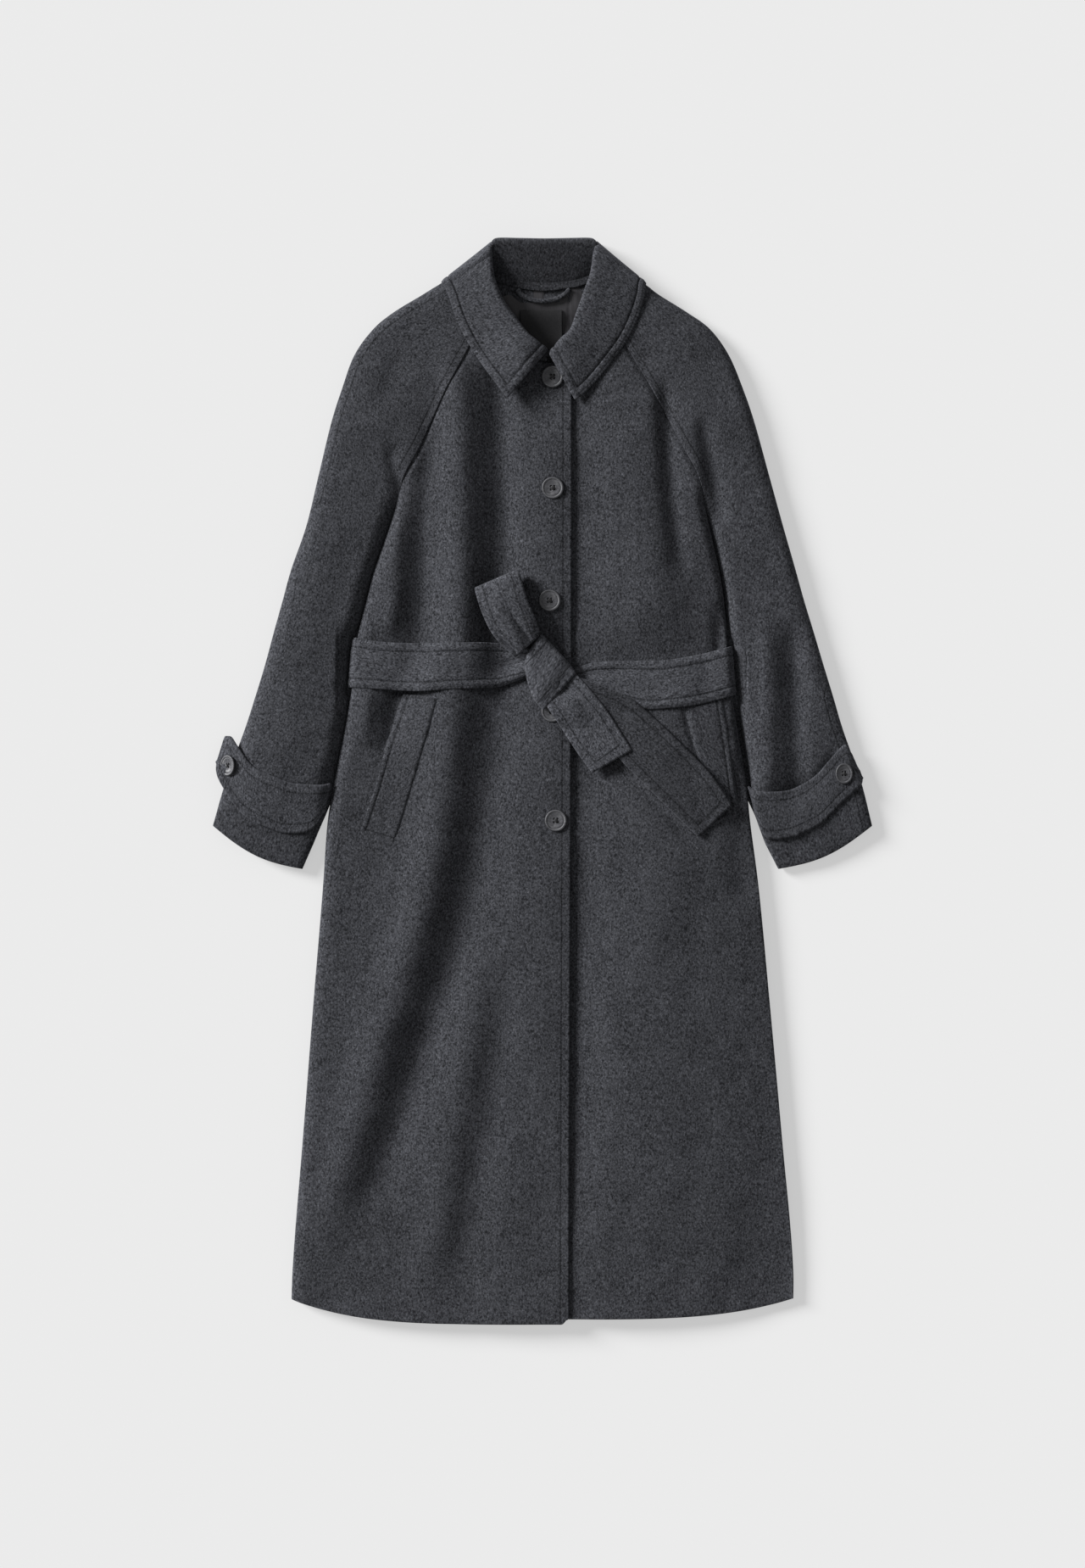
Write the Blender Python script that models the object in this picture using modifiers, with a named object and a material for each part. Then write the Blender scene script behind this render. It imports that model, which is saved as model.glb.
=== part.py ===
"""Long wool coat laid flat on its back, with its belt tied in a half bow.

The coat lies in the XY plane: +Y points from the hem to the collar, +X to the
right as seen from above, +Z up, and Z = 0 is the surface it lies on. Sizes are in
millimetres until a point is placed. A sheet of cloth is a grid of points through
the middle of the cloth, given its thickness by Solidify.
"""

import math

import bmesh
import bpy
from mathutils import Matrix, Vector
from mathutils.bvhtree import BVHTree

MM = 0.001

# Driving dimensions, in millimetres.
CLOTH = 2.5  # thickness of one layer of the coat cloth
DOUBLE = 4.4  # two layers sewn together: collar, belt and straps
LINING = 1.0
GAP = 0.3  # clearance between pieces that meet
LAY_GAP = 0.7  # clearance under a piece that lies on another
TOP = 18.0  # middle of the upper layer above the surface
NECK_Y = 523.0  # top of the front raglan seam
BACK_NECK_Y = 566.0  # top of the back raglan seam
HEM_Y = -585.0  # hem at the side seams
ARMPIT_Y = 346.0
ARMPIT_FADE = 62.0  # length over which the trough beside the body deepens
BELT_Y = 130.0  # middle of the belt at the side seams
BELT_WIDTH = 50.0
BELT_LIFT = 5.4  # the back panel rises over the belt that passes under it
COLLAR_LIFT = 5.9  # the back neck rises over the collar folded under it
OVERLAP = 85.0  # how far the right front runs under the left front
OVERLAP_STEP = 4.4  # how much lower the right front lies there
TOP_ANGLES = (0, 20, 50, 90)  # places round the rolled edge of an upper panel
UNDER_ANGLES = (0, 35, 90)  # and of an under panel
SEAM_HALF = 0.9  # half the space between the panels at a side seam
BUTTON_RADIUS = 12.5

# Edges of the body below the armpits, and the raglan seams above them.
BODY_EDGES = (  # y, left x, right x
    (566, -40, 46),
    (545, -54, 61),
    (523, -67, 74),
    (487, -84, 97),
    (446, -106, 122),
    (404, -126, 145),
    (375, -139, 160),
    (346, -154, 175),
    (313, -163, 182),
    (273, -176, 191),
    (232, -190, 200),
    (205, -197, 204),
    (157, -208, 208),
    (108, -213, 212),
    (47, -224, 221),
    (-8, -235, 230),
    (-46, -241, 234),
    (-115, -246, 243),
    (-249, -257, 256),
    (-403, -269, 270),
    (-556, -281, 283),
    (-585, -282, 283),
)

# Rows across both sleeves. The inner end lies on the body's edge at this y.
SLEEVE_ROWS = (  # inner y front, inner y back, outer y, left outer x, right outer x, drop
    (523, 566, 580, -69, 71, 0),
    (505, 545, 566, -103, 105, 0),
    (492, 525, 557, -119, 119, 0),
    (478, 505, 548, -134, 131, 0),
    (446, 460, 528, -167, 163, 0),
    (424, 430, 509, -190, 189, 0),
    (400, 402, 480, -211, 210, 0),
    (375, 375, 442, -225, 226, 0),
    (346, 346, 404, -237, 239, 0),
    (300, 300, 346, -251, 255, 0),
    (247, 247, 288, -265, 271, 0),
    (200, 200, 239, -282, 285, 0),
    (165, 165, 203, -292, 295, 0),
    (130, 130, 167, -302, 306, 0),
    (94, 94, 130, -312, 317, 0),
    (58, 58, 94, -323, 328, 0),
    (20, 20, 57, -335, 339, 0),
    (-40, -40, 0, -356, 359, 2),
    (-99, -99, -51, -371, 372, 5),
)
BODY_ROWS_BELOW = (-165, -240, -315, -390, -460, -530, -585)

# How far the sleeve's inner edge stays from the body's edge.
SLEEVE_AWAY = (  # y, distance
    (566, 0.3),
    (400, 0.3),
    (375, 0.7),
    (346, 1.6),
    (300, 3.0),
    (247, 3.0),
    (200, 4.0),
    (165, 9.8),
    (94, 9.8),
    (58, 3.5),
    (-5, 3.0),
    (-40, 6.0),
    (-70, 16.0),
    (-99, 27.0),
)

FRONT_NECKLINE = (  # x, y
    (-67, 523),
    (-46, 502),
    (-35, 488),
    (-15, 476),
    (8, 470),
    (32, 470),
    (48, 485),
    (61, 505),
    (74, 523),
)

# Largest folds of the upper layer: ridges are positive, troughs negative.
FOLDS = (  # x and y at the top, middle and bottom, half width, height
    (-106, 420, -111, 290, -112, 165, 15, 2.6),
    (-84, 455, -74, 300, -70, 165, 17, -5.0),
    (-150, 345, -158, 250, -160, 165, 11, -3.2),
    (78, 400, 82, 270, 84, 165, 34, 3.2),
    (118, 440, 134, 350, 151, 270, 11, -3.0),
    (150, 370, 166, 330, 184, 290, 12, 2.2),
    (-187, 100, -187, 78, -187, 45, 10, -3.6),
    (-119, 92, -124, 10, -130, -80, 20, 3.2),
    (-76, 100, -105, -76, -134, -196, 19, -5.4),
    (-134, -196, -178, -390, -240, -545, 19, -4.4),
    (-144, 0, -178, -120, -206, -275, 18, 3.0),
    (-96, -260, -124, -364, -153, -520, 20, 3.0),
    (-43, -205, -76, -360, -115, -560, 17, -2.6),
    (92, 60, 96, -200, 96, -520, 46, 2.0),
    (268, 140, 270, 60, 270, -10, 13, -3.4),
    (238, 160, 238, 80, 238, -20, 13, 2.0),
    (-262, 300, -290, 150, -318, 10, 26, 2.2),
)

FINISHES = {  # colour, roughness
    "wool": ((0.045, 0.046, 0.052), 0.95),
    "lining": ((0.016, 0.016, 0.018), 0.45),
    "label": ((0.006, 0.006, 0.007), 0.6),
    "horn": ((0.06, 0.06, 0.065), 0.35),
}

for leftover in list(bpy.data.objects):
    bpy.data.objects.remove(leftover, do_unlink=True)

coat = bpy.data.collections.new("long_wool_coat")
bpy.context.scene.collection.children.link(coat)
cutters = bpy.data.collections.new("cutters")
bpy.context.scene.collection.children.link(cutters)


def smoothstep(value):
    """0 below 0, 1 above 1, with a soft start and end."""
    value = min(max(value, 0.0), 1.0)
    return value * value * (3.0 - 2.0 * value)


def curve_through(table, x, column=1):
    """Reads a column of a table at x, smoothly between its rows."""
    rows = sorted((row[0], row[column]) for row in table)
    if x <= rows[0][0]:
        return rows[0][1]
    if x >= rows[-1][0]:
        return rows[-1][1]
    after = next(i for i, row in enumerate(rows) if row[0] > x)
    x0, y0 = rows[after - 1]
    x1, y1 = rows[after]
    width = x1 - x0
    middle = (y1 - y0) / width
    before = middle if after < 2 else (y0 - rows[after - 2][1]) / (x0 - rows[after - 2][0])
    beyond = middle if after + 1 == len(rows) else (rows[after + 1][1] - y1) / (rows[after + 1][0] - x1)
    slope0 = (before + middle) / 2
    slope1 = (middle + beyond) / 2
    t = (x - x0) / width
    rise = y0 * (1 + 2 * t) * (1 - t) ** 2 + y1 * t * t * (3 - 2 * t)
    return rise + width * (slope0 * t * (1 - t) ** 2 - slope1 * t * t * (1 - t))


def line_through(table, x, column=1):
    """Reads a column of a table at x, with straight lines between its rows."""
    rows = sorted((row[0], row[column]) for row in table)
    x = min(max(x, rows[0][0]), rows[-1][0])
    for (x0, y0), (x1, y1) in zip(rows, rows[1:]):
        if x <= x1:
            return y0 + (y1 - y0) * (x - x0) / (x1 - x0)
    return rows[-1][1]


def body_edge(side, y):
    """x of the body's left (-1) or right (+1) edge, or of the raglan seam above the armpit."""
    return curve_through(BODY_EDGES, y, 1 if side < 0 else 2)


def trough(y):
    """How far the panels' edges beside the armhole have come down: 0 above the armpit, then 1."""
    return smoothstep((ARMPIT_Y - y) / ARMPIT_FADE)


def fold_height(x, y):
    """Sum of the ridges and troughs of the folds at this place."""
    height = 0.0
    for x0, y0, x1, y1, x2, y2, half_width, rise in FOLDS:
        along = (y0 - y) / (y0 - y2)
        middle = (y0 - y1) / (y0 - y2)
        reach = 0.12
        if along < -reach or along > 1 + reach:
            continue
        inside = min(max(along, 0.0), 1.0)
        bend = (x1 - x0 - (x2 - x0) * middle) / (middle * (middle - 1))
        centre = x0 + (x2 - x0) * inside + bend * inside * (inside - 1)
        fade = smoothstep((along + reach) / 0.25) * smoothstep((1 + reach - along) / 0.25)
        height += rise * fade * math.exp(-(((x - centre) / half_width) ** 2))
    return height


def top_height(x, y):
    """Middle of the coat's upper layer above the surface."""
    waist = -2.0 * math.exp(-(((y - 125) / 40) ** 2)) if abs(x) < 230 else 0.0
    hem_drop = -4.0 * smoothstep((-430 - y) / 170)
    return TOP + waist + hem_drop + fold_height(x, y)


def belt_rise(y):
    """How much the back panel is raised by the belt under it."""
    return BELT_LIFT * smoothstep((BELT_WIDTH / 2 + 42 - abs(y - BELT_Y)) / 34)


def collar_rise(x, y):
    """How much the back neck is raised by the collar under it."""
    collar_edge = 546 + 17 * (x / 105) ** 2
    return COLLAR_LIFT * smoothstep((y - collar_edge + 32) / 26)


def under_height(x, y):
    """Middle of the coat's lower layer above the surface."""
    inside = abs(x) < 0.5 * (body_edge(1, y) - body_edge(-1, y)) + 8 and y < ARMPIT_Y
    return CLOTH / 2 + (belt_rise(y) if inside else 0.0) + collar_rise(x, y)


def seam_height(x, y):
    """Height of the side seams, halfway up the rolled edge."""
    return (top_height(x, y) + under_height(x, y)) / 2


def rolled(angle, reach, amount):
    """Distance in from a rolled edge at this angle round it, and how far down the cloth is there."""
    radians = math.radians(angle)
    distance = reach * ((1 - math.cos(radians)) * amount + angle / 90 * (1 - amount))
    return distance, amount * (1 - math.sin(radians))


def give_finish(obj, finish):
    """Gives an object its own Principled material."""
    colour, roughness = FINISHES[finish]
    material = bpy.data.materials.new(obj.name + "_" + finish)
    material.use_nodes = True
    shader = material.node_tree.nodes["Principled BSDF"]
    shader.inputs["Base Color"].default_value = (*colour, 1.0)
    shader.inputs["Roughness"].default_value = roughness
    obj.data.materials.append(material)


def sheet(name, columns, rows, place, thickness, finish="wool"):
    """A sheet of cloth: a grid whose points are placed by a function, made solid."""
    grid = bmesh.new()
    bmesh.ops.create_grid(grid, x_segments=columns - 1, y_segments=rows - 1, size=0.5)
    for vertex in grid.verts:
        column = round((vertex.co.x + 0.5) * (columns - 1))
        row = round((vertex.co.y + 0.5) * (rows - 1))
        vertex.co = place(column, row) * MM
    mesh = bpy.data.meshes.new(name)
    grid.to_mesh(mesh)
    grid.free()
    mesh.shade_smooth()
    obj = bpy.data.objects.new(name, mesh)
    coat.objects.link(obj)
    give_finish(obj, finish)
    solidify = obj.modifiers.new("thickness", "SOLIDIFY")
    solidify.thickness = thickness * MM
    solidify.offset = 0.0
    return obj


def surfaces(*pieces):
    """Search trees of finished pieces, for laying others on them."""
    bpy.context.view_layer.update()
    graph = bpy.context.evaluated_depsgraph_get()
    trees = []
    for piece in pieces:
        shape = piece.evaluated_get(graph).to_mesh()
        points = [piece.matrix_world @ vertex.co for vertex in shape.vertices]
        trees.append(BVHTree.FromPolygons(points, [tuple(face.vertices) for face in shape.polygons]))
    return trees


def top_of(trees, x, y, reach=0.0, floor=0.0):
    """Highest point of the given pieces within reach of (x, y)."""
    highest = floor
    spots = [(0.0, 0.0)]
    for ring in (0.5, 1.0):
        spots += [(ring * reach * math.cos(k * math.pi / 4), ring * reach * math.sin(k * math.pi / 4))
                  for k in range(8)] if reach else []
    for tree in trees:
        for dx, dy in spots:
            start = Vector((x + dx, y + dy, 150.0)) * MM
            hit = tree.ray_cast(start, Vector((0, 0, -1)))[0]
            if hit is not None:
                highest = max(highest, hit.z / MM)
    return highest


# Back panel -------------------------------------------------------------------

BODY_ROWS_BACK = tuple(row[1] for row in SLEEVE_ROWS) + BODY_ROWS_BELOW
BODY_ROWS_FRONT = tuple(row[0] for row in SLEEVE_ROWS) + BODY_ROWS_BELOW
LEFT_ROLL = 14.0  # reach of the rolled edge on the side towards the light
RIGHT_ROLL = 22.0
UNDER_ROLL = 9.0


HEM_MIDDLE_Y = -612.5  # lowest place of the hem
HEM_CURVE = 27.5  # how much higher the hem is at the side seams
HEM_HALF_WIDTH = 282.0
RIGHT_HEM_UP = 5.0  # the right front is this much shorter at the closing edge
CLOSING_X = 31.0  # x of the closing edge at the hem


def hem(x):
    """y of the hem, which curves up towards the side seams."""
    aside = abs(x / HEM_HALF_WIDTH) ** 4
    return HEM_MIDDLE_Y + HEM_CURVE * aside + (RIGHT_HEM_UP if x > CLOSING_X else 0.0) * (1 - aside)


def back_hem(x):
    """y of the back panel's hem, just above the fronts' hem."""
    return min(hem(x) + 2.5, HEM_Y)


def back_place(column, row):
    edge_y = BODY_ROWS_BACK[row]
    left = body_edge(-1, edge_y)
    right = body_edge(1, edge_y)
    lower = 0.0
    last = BACK_COLUMNS - 1
    rolls = len(UNDER_ANGLES)
    if column < rolls:
        distance, lower = rolled(UNDER_ANGLES[column], UNDER_ROLL, trough(edge_y))
        x = left + distance
    elif column > last - rolls:
        distance, lower = rolled(UNDER_ANGLES[last - column], UNDER_ROLL, trough(edge_y))
        x = right - distance
    else:
        share = (column - rolls + 1) / (last - 2 * rolls + 2)
        x = left + UNDER_ROLL + share * (right - left - 2 * UNDER_ROLL)
    down = (BACK_NECK_Y - edge_y) / (BACK_NECK_Y - HEM_Y)
    neck_y = 561 + 5 * min(abs((x - 3) / 43), 1) ** 2
    hem_x = -282 + 565 * (x - left) / (right - left)
    y = neck_y + (back_hem(hem_x) - neck_y) * down if BACK_COLUMNS - 1 > column > 0 else edge_y
    z = under_height(x, y)
    return Vector((x, y, z + (seam_height(x, y) - SEAM_HALF - z) * lower))


BACK_COLUMNS = 2 * len(UNDER_ANGLES) + 4
back = sheet("back", BACK_COLUMNS, len(BODY_ROWS_BACK), back_place, CLOTH)

# Fronts -----------------------------------------------------------------------


def front_edge(y):
    """x of the upper front's edge."""
    return 32.0 - 3.0 * smoothstep((460 - y) / 1070)


def front_row_y(x_share, x_top, edge_y, hem_y):
    """y of a front's row at this column: the rows start along the neckline and end along the hem."""
    down = (NECK_Y - edge_y) / (NECK_Y - HEM_Y)
    neck = curve_through(FRONT_NECKLINE, x_top)
    return neck + (hem_y - neck) * down if x_share > 0 else edge_y


def front_right_place(column, row):
    edge_y = BODY_ROWS_FRONT[row]
    right = body_edge(1, edge_y)
    centre = front_edge(edge_y)
    last = FRONT_RIGHT_COLUMNS - 1
    lower = 0.0
    if column > last - len(TOP_ANGLES):
        distance, lower = rolled(TOP_ANGLES[last - column], RIGHT_ROLL, trough(edge_y))
        x = right - distance
    elif column < len(UNDER_OVERLAP):
        x = centre + UNDER_OVERLAP[column] * min(1.0, (right - centre) / 80)
    else:
        start = centre + UNDER_OVERLAP[-1] * min(1.0, (right - centre) / 80)
        share = (column - len(UNDER_OVERLAP) + 1) / (last - len(TOP_ANGLES) - len(UNDER_OVERLAP) + 2)
        x = start + share * (right - RIGHT_ROLL - start)
    x_top = 32 + 42 * (x - centre) / (right - centre) if x > centre else 32
    hem_x = x + (283 - right) * max(x - centre, 0) / (right - centre)
    y = front_row_y(right - x, x_top, edge_y, max(hem(max(hem_x, 32)), -607.5))
    z = top_height(x, y)
    z -= OVERLAP_STEP * (1 - smoothstep((x - centre - 3) / 15))
    return Vector((x, y, z + (seam_height(x, y) + SEAM_HALF - z) * lower))


UNDER_OVERLAP = (-OVERLAP, -55.0, -28.0, -4.0, 3.0, 10.0, 18.0)
FRONT_RIGHT_COLUMNS = len(UNDER_OVERLAP) + 5 + len(TOP_ANGLES)
front_right = sheet("front_right", FRONT_RIGHT_COLUMNS, len(BODY_ROWS_FRONT), front_right_place, CLOTH)
under_layer = surfaces(front_right)


def front_left_place(column, row):
    edge_y = BODY_ROWS_FRONT[row]
    left = body_edge(-1, edge_y)
    centre = front_edge(edge_y)
    lower = 0.0
    if column < len(TOP_ANGLES):
        distance, lower = rolled(TOP_ANGLES[column], LEFT_ROLL, trough(edge_y))
        x = left + distance
    else:
        share = (column - len(TOP_ANGLES) + 1) / (FRONT_LEFT_COLUMNS - len(TOP_ANGLES))
        x = left + LEFT_ROLL + share * (centre - left - LEFT_ROLL)
    across = (x - left) / (centre - left)
    hem_y = hem(-282 + 311 * across)
    y = front_row_y(across, -67 + 99 * across, edge_y, hem_y)
    if row == len(BODY_ROWS_FRONT) - 1 and column == FRONT_LEFT_COLUMNS - 1:
        y += 6.0
    z = top_height(x, y)
    if x > centre - OVERLAP - 20:
        z = max(z, top_of(under_layer, x, y, 10.0) + CLOTH / 2 + GAP)
    return Vector((x, y, z + (seam_height(x, y) + SEAM_HALF - z) * lower))


FRONT_LEFT_COLUMNS = len(TOP_ANGLES) + 12
front_left = sheet("front_left", FRONT_LEFT_COLUMNS, len(BODY_ROWS_FRONT), front_left_place, CLOTH)

# Sleeves ----------------------------------------------------------------------

OUTER_ROLL = 14.0
INNER_ROLL = {-1: 30.0, 1: 15.0}  # the left sleeve slopes gently down to the body
SLEEVE_MIDDLE = 3  # columns between the two rolled edges


def sleeve_columns(is_front):
    return 2 * len(TOP_ANGLES if is_front else UNDER_ANGLES) + SLEEVE_MIDDLE


def sleeve_place(side, is_front, column, row):
    front_y, back_y, outer_y, left_outer, right_outer, drop = SLEEVE_ROWS[row]
    inner_y = front_y if is_front else back_y
    away = line_through(SLEEVE_AWAY, inner_y)
    inner = Vector((body_edge(side, inner_y) + side * away, inner_y))
    outer = Vector((left_outer if side < 0 else right_outer, outer_y))
    width = (inner - outer).length
    along = (inner - outer) / width
    inner_amount = trough(inner_y)
    outer_reach = min(OUTER_ROLL, width * 0.3) if is_front else min(UNDER_ROLL, width * 0.3)
    inner_reach = min(INNER_ROLL[side], width * 0.3) if is_front else min(UNDER_ROLL, width * 0.3)
    angles = TOP_ANGLES if is_front else UNDER_ANGLES
    last = sleeve_columns(is_front) - 1
    rolls = len(angles)
    if column < rolls:
        distance, lower = rolled(angles[column], outer_reach, 1.0)
        spot = outer + along * distance
    elif column > last - rolls:
        distance, lower = rolled(angles[last - column], inner_reach, inner_amount)
        spot = inner - along * distance
    else:
        share = (column - rolls + 1) / (SLEEVE_MIDDLE + 1)
        lower = 0.0
        spot = outer + along * (outer_reach + share * (width - outer_reach - inner_reach))
    across = (spot - outer).length / width
    if row >= len(SLEEVE_ROWS) - 2:
        bulge = (9.0 if row == len(SLEEVE_ROWS) - 1 else 3.0) * math.sin(math.pi * across)
        spot += Vector((side * bulge * 0.22, -bulge))
    upper = top_height(spot.x, spot.y) - drop
    under = under_height(spot.x, spot.y)
    z = upper if is_front else under
    seam = (upper + under) / 2 + (SEAM_HALF if is_front else -SEAM_HALF)
    return Vector((spot.x, spot.y, z + (seam - z) * lower))


sleeves = []
for side, side_name in ((-1, "left"), (1, "right")):
    for is_front, layer in ((True, "front"), (False, "back")):
        sleeves.append(
            sheet(
                f"sleeve_{side_name}_{layer}",
                sleeve_columns(is_front),
                len(SLEEVE_ROWS),
                lambda column, row, side=side, is_front=is_front: sleeve_place(side, is_front, column, row),
                CLOTH,
            )
        )
sleeve_left_front, sleeve_left_back, sleeve_right_front, sleeve_right_back = sleeves

# Lining, label and loop inside the neck ------------------------------------------

LINING_ROWS = (  # y, left x, right x
    (558, -37, 42),
    (545, -48, 54),
    (525, -58, 64),
    (500, -62, 68),
    (470, -62, 68),
    (445, -60, 66),
)
LINING_COLUMNS = 6
neck_floor = surfaces(back, sleeve_left_back, sleeve_right_back)


def lining_place(column, row):
    y, left, right = LINING_ROWS[row]
    x = left + (right - left) * column / (LINING_COLUMNS - 1)
    y -= 4.0 * (1 - ((x - 3) / 60) ** 2) if row == 0 else 0.0
    return Vector((x, y, top_of(neck_floor, x, y, 10.0) + LAY_GAP + LINING / 2))


neck_lining = sheet("neck_lining", LINING_COLUMNS, len(LINING_ROWS), lining_place, LINING, "lining")

LABEL_SIZE = (47.0, 44.0)
LABEL_CENTRE = (-1.0, 509.0)
LABEL_THICK = 0.8
lining_top = surfaces(neck_lining)


def label_place(column, row):
    x = LABEL_CENTRE[0] + LABEL_SIZE[0] * (column / 2 - 0.5)
    y = LABEL_CENTRE[1] - LABEL_SIZE[1] * (row / 3 - 0.5)
    return Vector((x, y, top_of(lining_top, x, y, 9.0) + GAP + LABEL_THICK / 2))


neck_label = sheet("neck_label", 3, 4, label_place, LABEL_THICK, "label")

LOOP_POINTS = ((-28, 553), (-22, 547), (-10, 542.5), (2, 541), (14, 543), (25, 548), (31, 553))
LOOP_RADIUS = 2.3
loop_curve = bpy.data.curves.new("hanger_loop", "CURVE")
loop_curve.dimensions = "3D"
loop_curve.bevel_depth = LOOP_RADIUS * MM
loop_curve.bevel_resolution = 2
loop_curve.use_fill_caps = True
loop_spline = loop_curve.splines.new("POLY")
loop_spline.points.add(len(LOOP_POINTS) - 1)
loop_floor = surfaces(back, neck_lining, neck_label)
for point, (x, y) in zip(loop_spline.points, LOOP_POINTS):
    z = top_of(loop_floor, x, y, 5.0) + LOOP_RADIUS + LAY_GAP
    point.co = (x * MM, y * MM, z * MM, 1.0)
hanger_loop = bpy.data.objects.new("hanger_loop", loop_curve)
coat.objects.link(hanger_loop)
give_finish(hanger_loop, "lining")

# Front buttons ------------------------------------------------------------------

BUTTON_PROFILE = (  # radius, height: from the rim of the dish over the edge and under
    (0.0, 2.6),
    (7.6, 2.7),
    (9.4, 3.9),
    (11.6, 3.6),
    (12.5, 2.4),
    (11.4, 0.6),
    (7.0, 0.0),
    (0.0, 0.0),
)
BUTTON_HOLE_PLACE = 2.5
BUTTON_HOLE_RADIUS = 1.0


def button_mesh():
    """A turned button with a dished face and four holes."""
    profile = bpy.data.meshes.new("button_profile")
    points = [(radius * MM, 0.0, height * MM) for radius, height in BUTTON_PROFILE]
    profile.from_pydata(points, [(k, k + 1) for k in range(len(points) - 1)], [])
    turned = bpy.data.objects.new("button_blank", profile)
    cutters.objects.link(turned)
    screw = turned.modifiers.new("turn", "SCREW")
    screw.steps = 24
    screw.render_steps = 24
    screw.use_merge_vertices = True
    screw.merge_threshold = 0.00001
    drill = bmesh.new()
    for corner in range(4):
        angle = math.pi / 4 + corner * math.pi / 2
        spot = Vector((math.cos(angle), math.sin(angle), 0)) * BUTTON_HOLE_PLACE + Vector((0, 0, 2))
        bmesh.ops.create_cone(
            drill, cap_ends=True, segments=8, radius1=BUTTON_HOLE_RADIUS * MM,
            radius2=BUTTON_HOLE_RADIUS * MM, depth=8 * MM, matrix=Matrix.Translation(spot * MM),
        )
    drill_mesh = bpy.data.meshes.new("button_drill")
    drill.to_mesh(drill_mesh)
    drill.free()
    drills = bpy.data.objects.new("button_drill", drill_mesh)
    drills.display_type = "WIRE"
    drills.hide_render = True
    cutters.objects.link(drills)
    cut = turned.modifiers.new("holes", "BOOLEAN")
    cut.operation = "DIFFERENCE"
    cut.object = drills
    bpy.context.view_layer.update()
    graph = bpy.context.evaluated_depsgraph_get()
    mesh = bpy.data.meshes.new_from_object(turned.evaluated_get(graph))
    mesh.name = "button"
    turned.hide_render = True
    turned.display_type = "WIRE"
    return mesh


shared_button = button_mesh()


def button(name, x, y, z, tilt=0.0, scale=1.0):
    """A button whose underside is centred at this place, tilted about Y."""
    mesh = shared_button.copy()
    mesh.transform(Matrix.Scale(scale, 4))
    obj = bpy.data.objects.new(name, mesh)
    obj.location = Vector((x, y, z)) * MM
    obj.rotation_euler = (0.0, math.radians(tilt), 0.0)
    coat.objects.link(obj)
    give_finish(obj, "horn")
    return obj


BUTTON_PLACES = ((11.8, 455.5), (12.0, 329.8), (8.6, 203.0), (11.5, 78.2), (15.5, -45.0))
front_top = surfaces(front_left)
buttons = []
for number, (x, y) in enumerate(BUTTON_PLACES, start=1):
    height = top_of(front_top, x, y, BUTTON_RADIUS) + LAY_GAP
    buttons.append(button(f"button_{number}", x, y, height))

# Collar ----------------------------------------------------------------------------

# From the left end round the back of the neck to the right end. The fall lies on the
# fronts (1), turns over at the side of the neck (0) and runs under the back (-1).
COLLAR_ROWS = (  # neck x, y; fold x, y, z; edge x, y; side
    (4, 474, 5, 486, 25, -39, 433, 1),
    (-12, 479, -6, 494, 27, -60, 461, 1),
    (-30, 489, -18, 504, 27, -73, 480, 1),
    (-43, 504, -33, 524, 27, -87, 504, 1),
    (-56, 519, -46, 543, 26, -97, 527, 1),
    (-64, 540, -55, 566, 25, -104, 548, 1),
    (-65, 562, -58, 590, 21, -109, 560, 1),
    (-63, 574, -58, 604, 12, -113, 569, 0),
    (-52, 573, -51, 610, 7, -97, 561, -1),
    (-30, 566, -26, 610, 6, -60, 551, -1),
    (3, 563, 3, 609.5, 6, 0, 547, -1),
    (36, 566, 32, 610, 6, 62, 551, -1),
    (58, 573, 55, 610, 7, 99, 561, -1),
    (68, 573, 62, 604, 12, 115, 568, 0),
    (69, 562, 59, 592, 21, 111, 559, 1),
    (67, 541, 56, 572, 26, 107, 547, 1),
    (62, 520, 48, 549, 26, 101, 522, 1),
    (52, 506, 41, 529, 27, 94, 499, 1),
    (42, 489, 33, 508, 27, 80, 477, 1),
    (27, 479, 22, 497, 27, 57, 449, 1),
    (13, 474, 9, 482, 25, 38, 431, 1),
)
neck_layers = surfaces(front_left, front_right, sleeve_left_front, sleeve_right_front)
STAND_SHARES = (0.0, 0.3, 0.6, 0.86)
STAND_FLOOR = TOP + CLOTH / 2  # the fronts' height, where the stand reaches past them


def stand_place(column, row):
    neck_x, neck_y, fold_x, fold_y, fold_z, _, _, side = COLLAR_ROWS[row]
    share = STAND_SHARES[column]
    x = neck_x + (fold_x - neck_x) * share
    y = neck_y + (fold_y - neck_y) * share
    if side > 0:
        low = top_of(neck_layers, x, y, 7.0, STAND_FLOOR) + LAY_GAP + CLOTH / 2
        z = low + (fold_z - 5.5 - low) * share
    elif side == 0:
        z = 14.0 - 4.0 * share
    else:
        z = 12.0 - 2.0 * share
    return Vector((x, y, z))


collar_stand = sheet("collar_stand", len(STAND_SHARES), len(COLLAR_ROWS), stand_place, CLOTH)

FALL_SHARES = (0.0, 0.05, 0.2, 0.45, 0.72, 1.0)
fall_floor = surfaces(
    front_left, front_right, sleeve_left_front, sleeve_right_front, collar_stand, buttons[0]
)


def fall_place(column, row):
    _, _, fold_x, fold_y, fold_z, edge_x, edge_y, side = COLLAR_ROWS[row]
    share = FALL_SHARES[column]
    x = fold_x + (edge_x - fold_x) * share
    y = fold_y + (edge_y - fold_y) * share
    if side > 0:
        low = top_of(fall_floor, x, y, 13.0) + LAY_GAP + 0.2 + DOUBLE / 2
        z = max(low, fold_z) if share < 0.1 else low
    elif side == 0:
        z = 12.0 - 1.5 * share
        outward = -1 if x < 0 else 1
        x += outward * 1.5
        y += 1.5
    else:
        z = fold_z if share == 0 else DOUBLE / 2
    return Vector((x, y, z))


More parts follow.
